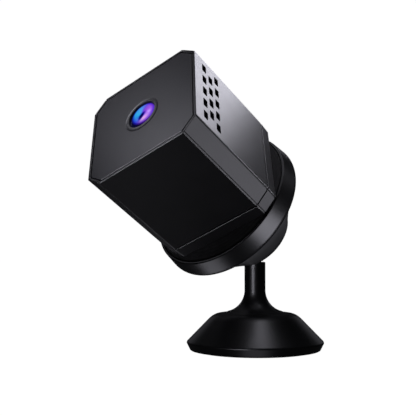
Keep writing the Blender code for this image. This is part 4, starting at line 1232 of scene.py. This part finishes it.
class CAMERA_OT_stand(bpy.types.Operator):
    """Makes the neck and foot in one moulding, and the pad that it rests on"""

    bl_idname = "security_camera.stand"
    bl_label = "Stand"

    def execute(self, context):
        sizes = context.scene.security_camera.stand
        made = workpiece("stand_body", lathe(self.profile(sizes), ROUND + 32))
        settle(made, STAND, "stand", ["stand_shell"], "case")
        pad = workpiece("foot_sole", round_plate(SOLE_HIGH.x, SOLE_HIGH.z, 0.2 * MM))
        settle(pad, STAND, "stand", ["foot_pad"], "rubber")
        return {"FINISHED"}

    def profile(self, sizes):
        """From the top of the neck down the outside, under the rim and back up inside."""
        top, radius, neck = FOOT_HIGH.z, FOOT_HIGH.x, sizes.neck_radius
        shoulder, height, edge = sizes.shoulder_radius, sizes.shoulder_height, sizes.foot_edge
        flare = arc((neck + sizes.neck_fillet, sizes.neck_foot), sizes.neck_fillet, 180, 257, 28)
        turn = 1.5 * MM
        slope = (height - edge - 0.5 * MM) / (radius - 0.5 * MM - shoulder)
        level = (shoulder - turn, height + 0.25 * MM)
        join = eased(flare[-1], (flare[-1][0] + 0.8 * MM, level[1] + 0.02 * MM), level, 6)[1:-1]
        lip = eased(level, (shoulder, height), (shoulder + turn, height - turn * slope), 10)
        crease = eased(
            (radius - 0.3 * MM, edge + 0.3 * MM), (radius, edge), (radius - 0.04 * MM, edge - 0.35 * MM), 6
        )
        bottom, low = radius - 1.0 * MM, 0.3 * MM  # the moulding stands clear of the table
        hem = eased((bottom + 0.17 * MM, 0.9 * MM), (bottom, low), (bottom - 0.5 * MM, low), 4)
        bore_radius, mouth, ceiling = 2.2 * MM, SOLE_HIGH.x + 0.3 * MM, height - 1.75 * MM
        inside = [(mouth + 0.1 * MM, low), (mouth, low + 0.1 * MM), (mouth, edge)]
        inside += [(shoulder - 1.5 * MM, ceiling - 0.5 * MM), (shoulder - 2.0 * MM, ceiling)]
        inside += [(bore_radius, ceiling), (bore_radius, top)]
        cap = eased((neck - 0.3 * MM, top), (neck, top), (neck, top - 0.3 * MM), 4)
        return [*cap, *flare, *join, *lip, *crease, *hem, *inside]


class CAMERA_OT_inner_parts(bpy.types.Operator):
    """Gives every other node of the model the finish of its record slot"""

    bl_idname = "security_camera.inner_parts"
    bl_label = "Inner parts"

    def execute(self, context):
        slots = {part["node"]: part["material_slot"] for part in frame["record"]["subparts"]}
        for name, node in frame["nodes"].items():
            if node.hide_render:
                continue
            node.data.materials.clear()
            node.data.materials.append(finish_of(slots[name]))
            for face in node.data.polygons:
                face.material_index = 0
        return {"FINISHED"}


# ---------------------------------------------------------------- stage


def softbox(name, aim, azimuth, rise, distance, size, glow, bodies):
    """A soft square light of one brightness.

    From aim it is seen at azimuth, from +X towards +Y, and at rise above level, both in degrees.
    With bodies named, it lights their pieces alone, as a flagged light does in a studio.
    """
    data = bpy.data.lights.new(name, "AREA")
    data.shape = "RECTANGLE"
    data.size = data.size_y = size
    data.energy = glow * math.pi * size**2
    data.color = linear("#f4f3ff")[:3]
    made = bpy.data.objects.new(name, data)
    bpy.context.scene.collection.objects.link(made)
    flat = math.cos(math.radians(rise))
    turn = math.radians(azimuth)
    way = Vector((math.cos(turn) * flat, math.sin(turn) * flat, math.sin(math.radians(rise))))
    made.location = aim + way * distance
    made.rotation_euler = (-way).to_track_quat("-Z", "Y").to_euler()
    made.visible_camera = False
    if bodies:
        lit = bpy.data.collections.new(name + "_lights")
        for body in bodies:
            for piece in PIECES[body]:
                lit.objects.link(piece)
        made.light_linking.receiver_collection = lit
        made.light_linking.blocker_collection = lit


def pale(name, shade, glow):
    """Matt white paint with a little glow of its own, so that the studio stays pale everywhere."""
    made, tree, shader, place = blank(name)
    cloud = add(tree, "ShaderNodeTexNoise", {"Vector": place, "Scale": per(300 * MM)})
    paint = linear(shade)
    tint = gradient(tree, cloud.outputs["Fac"], [(0.4, darker(paint, 0.995)), (0.6, paint)])
    tree.links.new(tint, shader.inputs["Base Color"])
    shader.inputs["Roughness"].default_value = 0.9
    shader.inputs["Specular IOR Level"].default_value = 0.0
    shader.inputs["Emission Color"].default_value = linear("#ffffff")
    shader.inputs["Emission Strength"].default_value = glow
    return made


class CAMERA_OT_stage(bpy.types.Operator):
    """Makes the pale floor and surround, the lights and the view"""

    bl_idname = "security_camera.stage"
    bl_label = "Studio"

    def execute(self, context):
        scene = context.scene
        settings = scene.security_camera.stage
        self.surround()
        self.lights(settings.power)
        scene.world = self.air()
        scene.view_settings.view_transform = "Standard"
        scene.camera = self.view(settings)
        return {"FINISHED"}

    def surround(self):
        """A white floor under a white dome, which neither light the pieces nor show in them."""
        reach, floor_thick, dome_thick = 1.6, 0.002, 0.01
        disc = [(0, -floor_thick), (reach, -floor_thick), (reach, 0), (0, 0)]
        floor = workpiece("studio_floor", lathe(disc))
        floor.data.materials.append(pale("matt_white_floor", "#f4f4f4", 1.0))
        inside = reach - dome_thick
        outer = arc((0, 0), reach, 0, 90, 24)[:-1] + [(0, reach)]
        inner = [(0, inside)] + arc((0, 0), inside, 90, 0, 24)[1:]
        dome = workpiece("studio_surround", lathe([*outer, *inner], SMALL))
        dome.data.materials.append(pale("matt_white_surround", "#ffffff", 1.0))
        for made in (floor, dome):
            made.visible_glossy = False
            made.visible_diffuse = False
            made.visible_shadow = False

    def air(self):
        """A very weak pale light from everywhere."""
        world = bpy.data.worlds.new("studio_air")
        world.use_nodes = True
        background = world.node_tree.nodes["Background"]
        background.inputs["Color"].default_value = linear("#dfe2ea")
        background.inputs["Strength"].default_value = 0.02
        return world

    def view(self, settings):
        """The camera that the scene is seen through."""
        data = bpy.data.cameras.new("view")
        data.lens = settings.lens
        data.sensor_width = 36.0
        data.clip_start = 0.01
        data.clip_end = 10.0
        made = bpy.data.objects.new("view", data)
        made.location = settings.eye
        made.rotation_euler = (math.radians(90) + settings.rise, 0, settings.heading)
        bpy.context.scene.collection.objects.link(made)
        return made

    def lights(self, power):
        """Each face has its own soft lamp, and faint ones fill the sides that those leave dark."""
        half, front = SHELL_HIGH.x, SHELL_HIGH.z
        rim, rim_height = CUP_HIGH.x, 15.5 * MM
        side = HEAD @ Vector((half, 0, 0.8 * front))
        face = HEAD @ Vector((0, -half / 2, front))
        low_edge = HEAD @ Vector((0, -half, front))
        strip = HEAD @ Vector((half - 2 * MM, -half + 2 * MM, front / 2))
        rim_front = BRACKET @ Vector((rim * 0.93, -rim * 0.37, rim_height))
        rim_left = BRACKET @ Vector((rim * 0.2, -rim * 0.98, rim_height))
        neck = Vector((0, 0, 22 * MM))
        foot = Vector((0, 0, 7 * MM))
        hem = Vector((14 * MM, -15 * MM, 2 * MM))
        head = ("head", "power_button", "reset_button", "memory_card")
        upper = (*head, "bracket")
        bracket, stand = ("bracket",), ("stand",)
        for name, aim, azimuth, rise, distance, size, glow, bodies in (
            ("side_light", side, 98, 42.5, 0.12, 0.092, 4.6, head),
            ("face_light", face, -158, 43, 0.25, 0.055, 3.3, head),
            ("strip_light", strip, 32, -14, 0.20, 0.14, 2.4, head),
            ("low_edge_light", low_edge, -97, -8, 0.20, 0.06, 24.0, head),
            ("strip_edge_light", strip, 58, 12, 0.20, 0.05, 13.0, head),
            ("strip_under_light", strip, 18, -43, 0.20, 0.05, 13.0, head),
            ("under_light", low_edge, -100, -84, 0.15, 0.05, 0.2, head),
            ("lens_light", face, -150, 60, 0.25, 0.03, 2.5, ("lens",)),
            ("rim_light", rim_front, 16, -26, 0.12, 0.08, 5.5, bracket),
            ("rim_left_light", rim_left, -171, -72, 0.12, 0.06, 1.9, bracket),
            ("foot_light", foot, 0, 82, 0.40, 0.12, 4.2, stand),
            ("neck_light", neck, -69, 2, 0.40, 0.13, 10.0, stand),
            ("ring_light", face, 165, 26, 0.20, 0.07, 2.0, ("ring",)),
            ("pad_light", rim_front, -157, 44, 0.25, 0.12, 0.6, bracket),
            ("cup_light", rim_front, 118, -12, 0.25, 0.10, 0.12, bracket),
            ("hem_light", hem, -48, -56, 0.10, 0.06, 0.8, stand),
            ("left_edge", foot, 160, 16, 0.40, 0.13, 0.14, stand),
            ("right_edge", foot, 104, 16, 0.40, 0.13, 0.2, stand),
            ("fill", neck, 160, 60, 0.60, 0.5, 0.08, None),
            ("top_light", neck, 0, 86, 0.50, 0.4, 1.0, upper),
            ("rear_right_light", neck, 55, 40, 0.50, 0.3, 0.3, upper),
            ("rear_left_light", neck, 130, 40, 0.50, 0.3, 0.9, upper),
            ("front_fill", face, -25, 32, 0.40, 0.25, 1.2, head),
            ("left_bounce", face, 145, -50, 0.30, 0.16, 0.9, head),
        ):
            softbox(name, aim, azimuth, rise, distance, size, glow * power, bodies)


# ---------------------------------------------------------------- add-on


class CameraSettings(bpy.types.PropertyGroup):
    """All settings of the camera"""

    case: PointerProperty(type=CameraCaseSettings)
    stand: PointerProperty(type=CameraStandSettings)
    finish: PointerProperty(type=CameraFinishSettings)
    stage: PointerProperty(type=CameraStageSettings)


OPERATORS = (
    CAMERA_OT_case_shell,
    CAMERA_OT_rear_cap,
    CAMERA_OT_case_screws,
    CAMERA_OT_front,
    CAMERA_OT_controls,
    CAMERA_OT_bracket,
    CAMERA_OT_ball_joint,
    CAMERA_OT_stand,
    CAMERA_OT_inner_parts,
    CAMERA_OT_stage,
)


class CAMERA_PT_panel(bpy.types.Panel):
    """Lists the steps that make the camera"""

    bl_idname = "CAMERA_PT_panel"
    bl_label = "Desk security camera"
    bl_space_type = "VIEW_3D"
    bl_region_type = "UI"
    bl_category = "Camera"

    def draw(self, context):
        settings = context.scene.security_camera
        for group in (settings.case, settings.stand, settings.finish, settings.stage):
            box = self.layout.box()
            for name in group.__annotations__:
                box.prop(group, name)
        for step in OPERATORS:
            self.layout.operator(step.bl_idname)


CLASSES = (
    CameraCaseSettings,
    CameraStandSettings,
    CameraFinishSettings,
    CameraStageSettings,
    CameraSettings,
    *OPERATORS,
    CAMERA_PT_panel,
)


def register():
    for item in CLASSES:
        bpy.utils.register_class(item)
    bpy.types.Scene.security_camera = PointerProperty(type=CameraSettings)


def unregister():
    del bpy.types.Scene.security_camera
    for item in reversed(CLASSES):
        bpy.utils.unregister_class(item)


def main():
    global SETTINGS
    register()
    SETTINGS = bpy.context.scene.security_camera
    for step in OPERATORS:
        group, name = step.bl_idname.split(".")
        getattr(getattr(bpy.ops, group), name)()


if __name__ == "__main__":
    main()
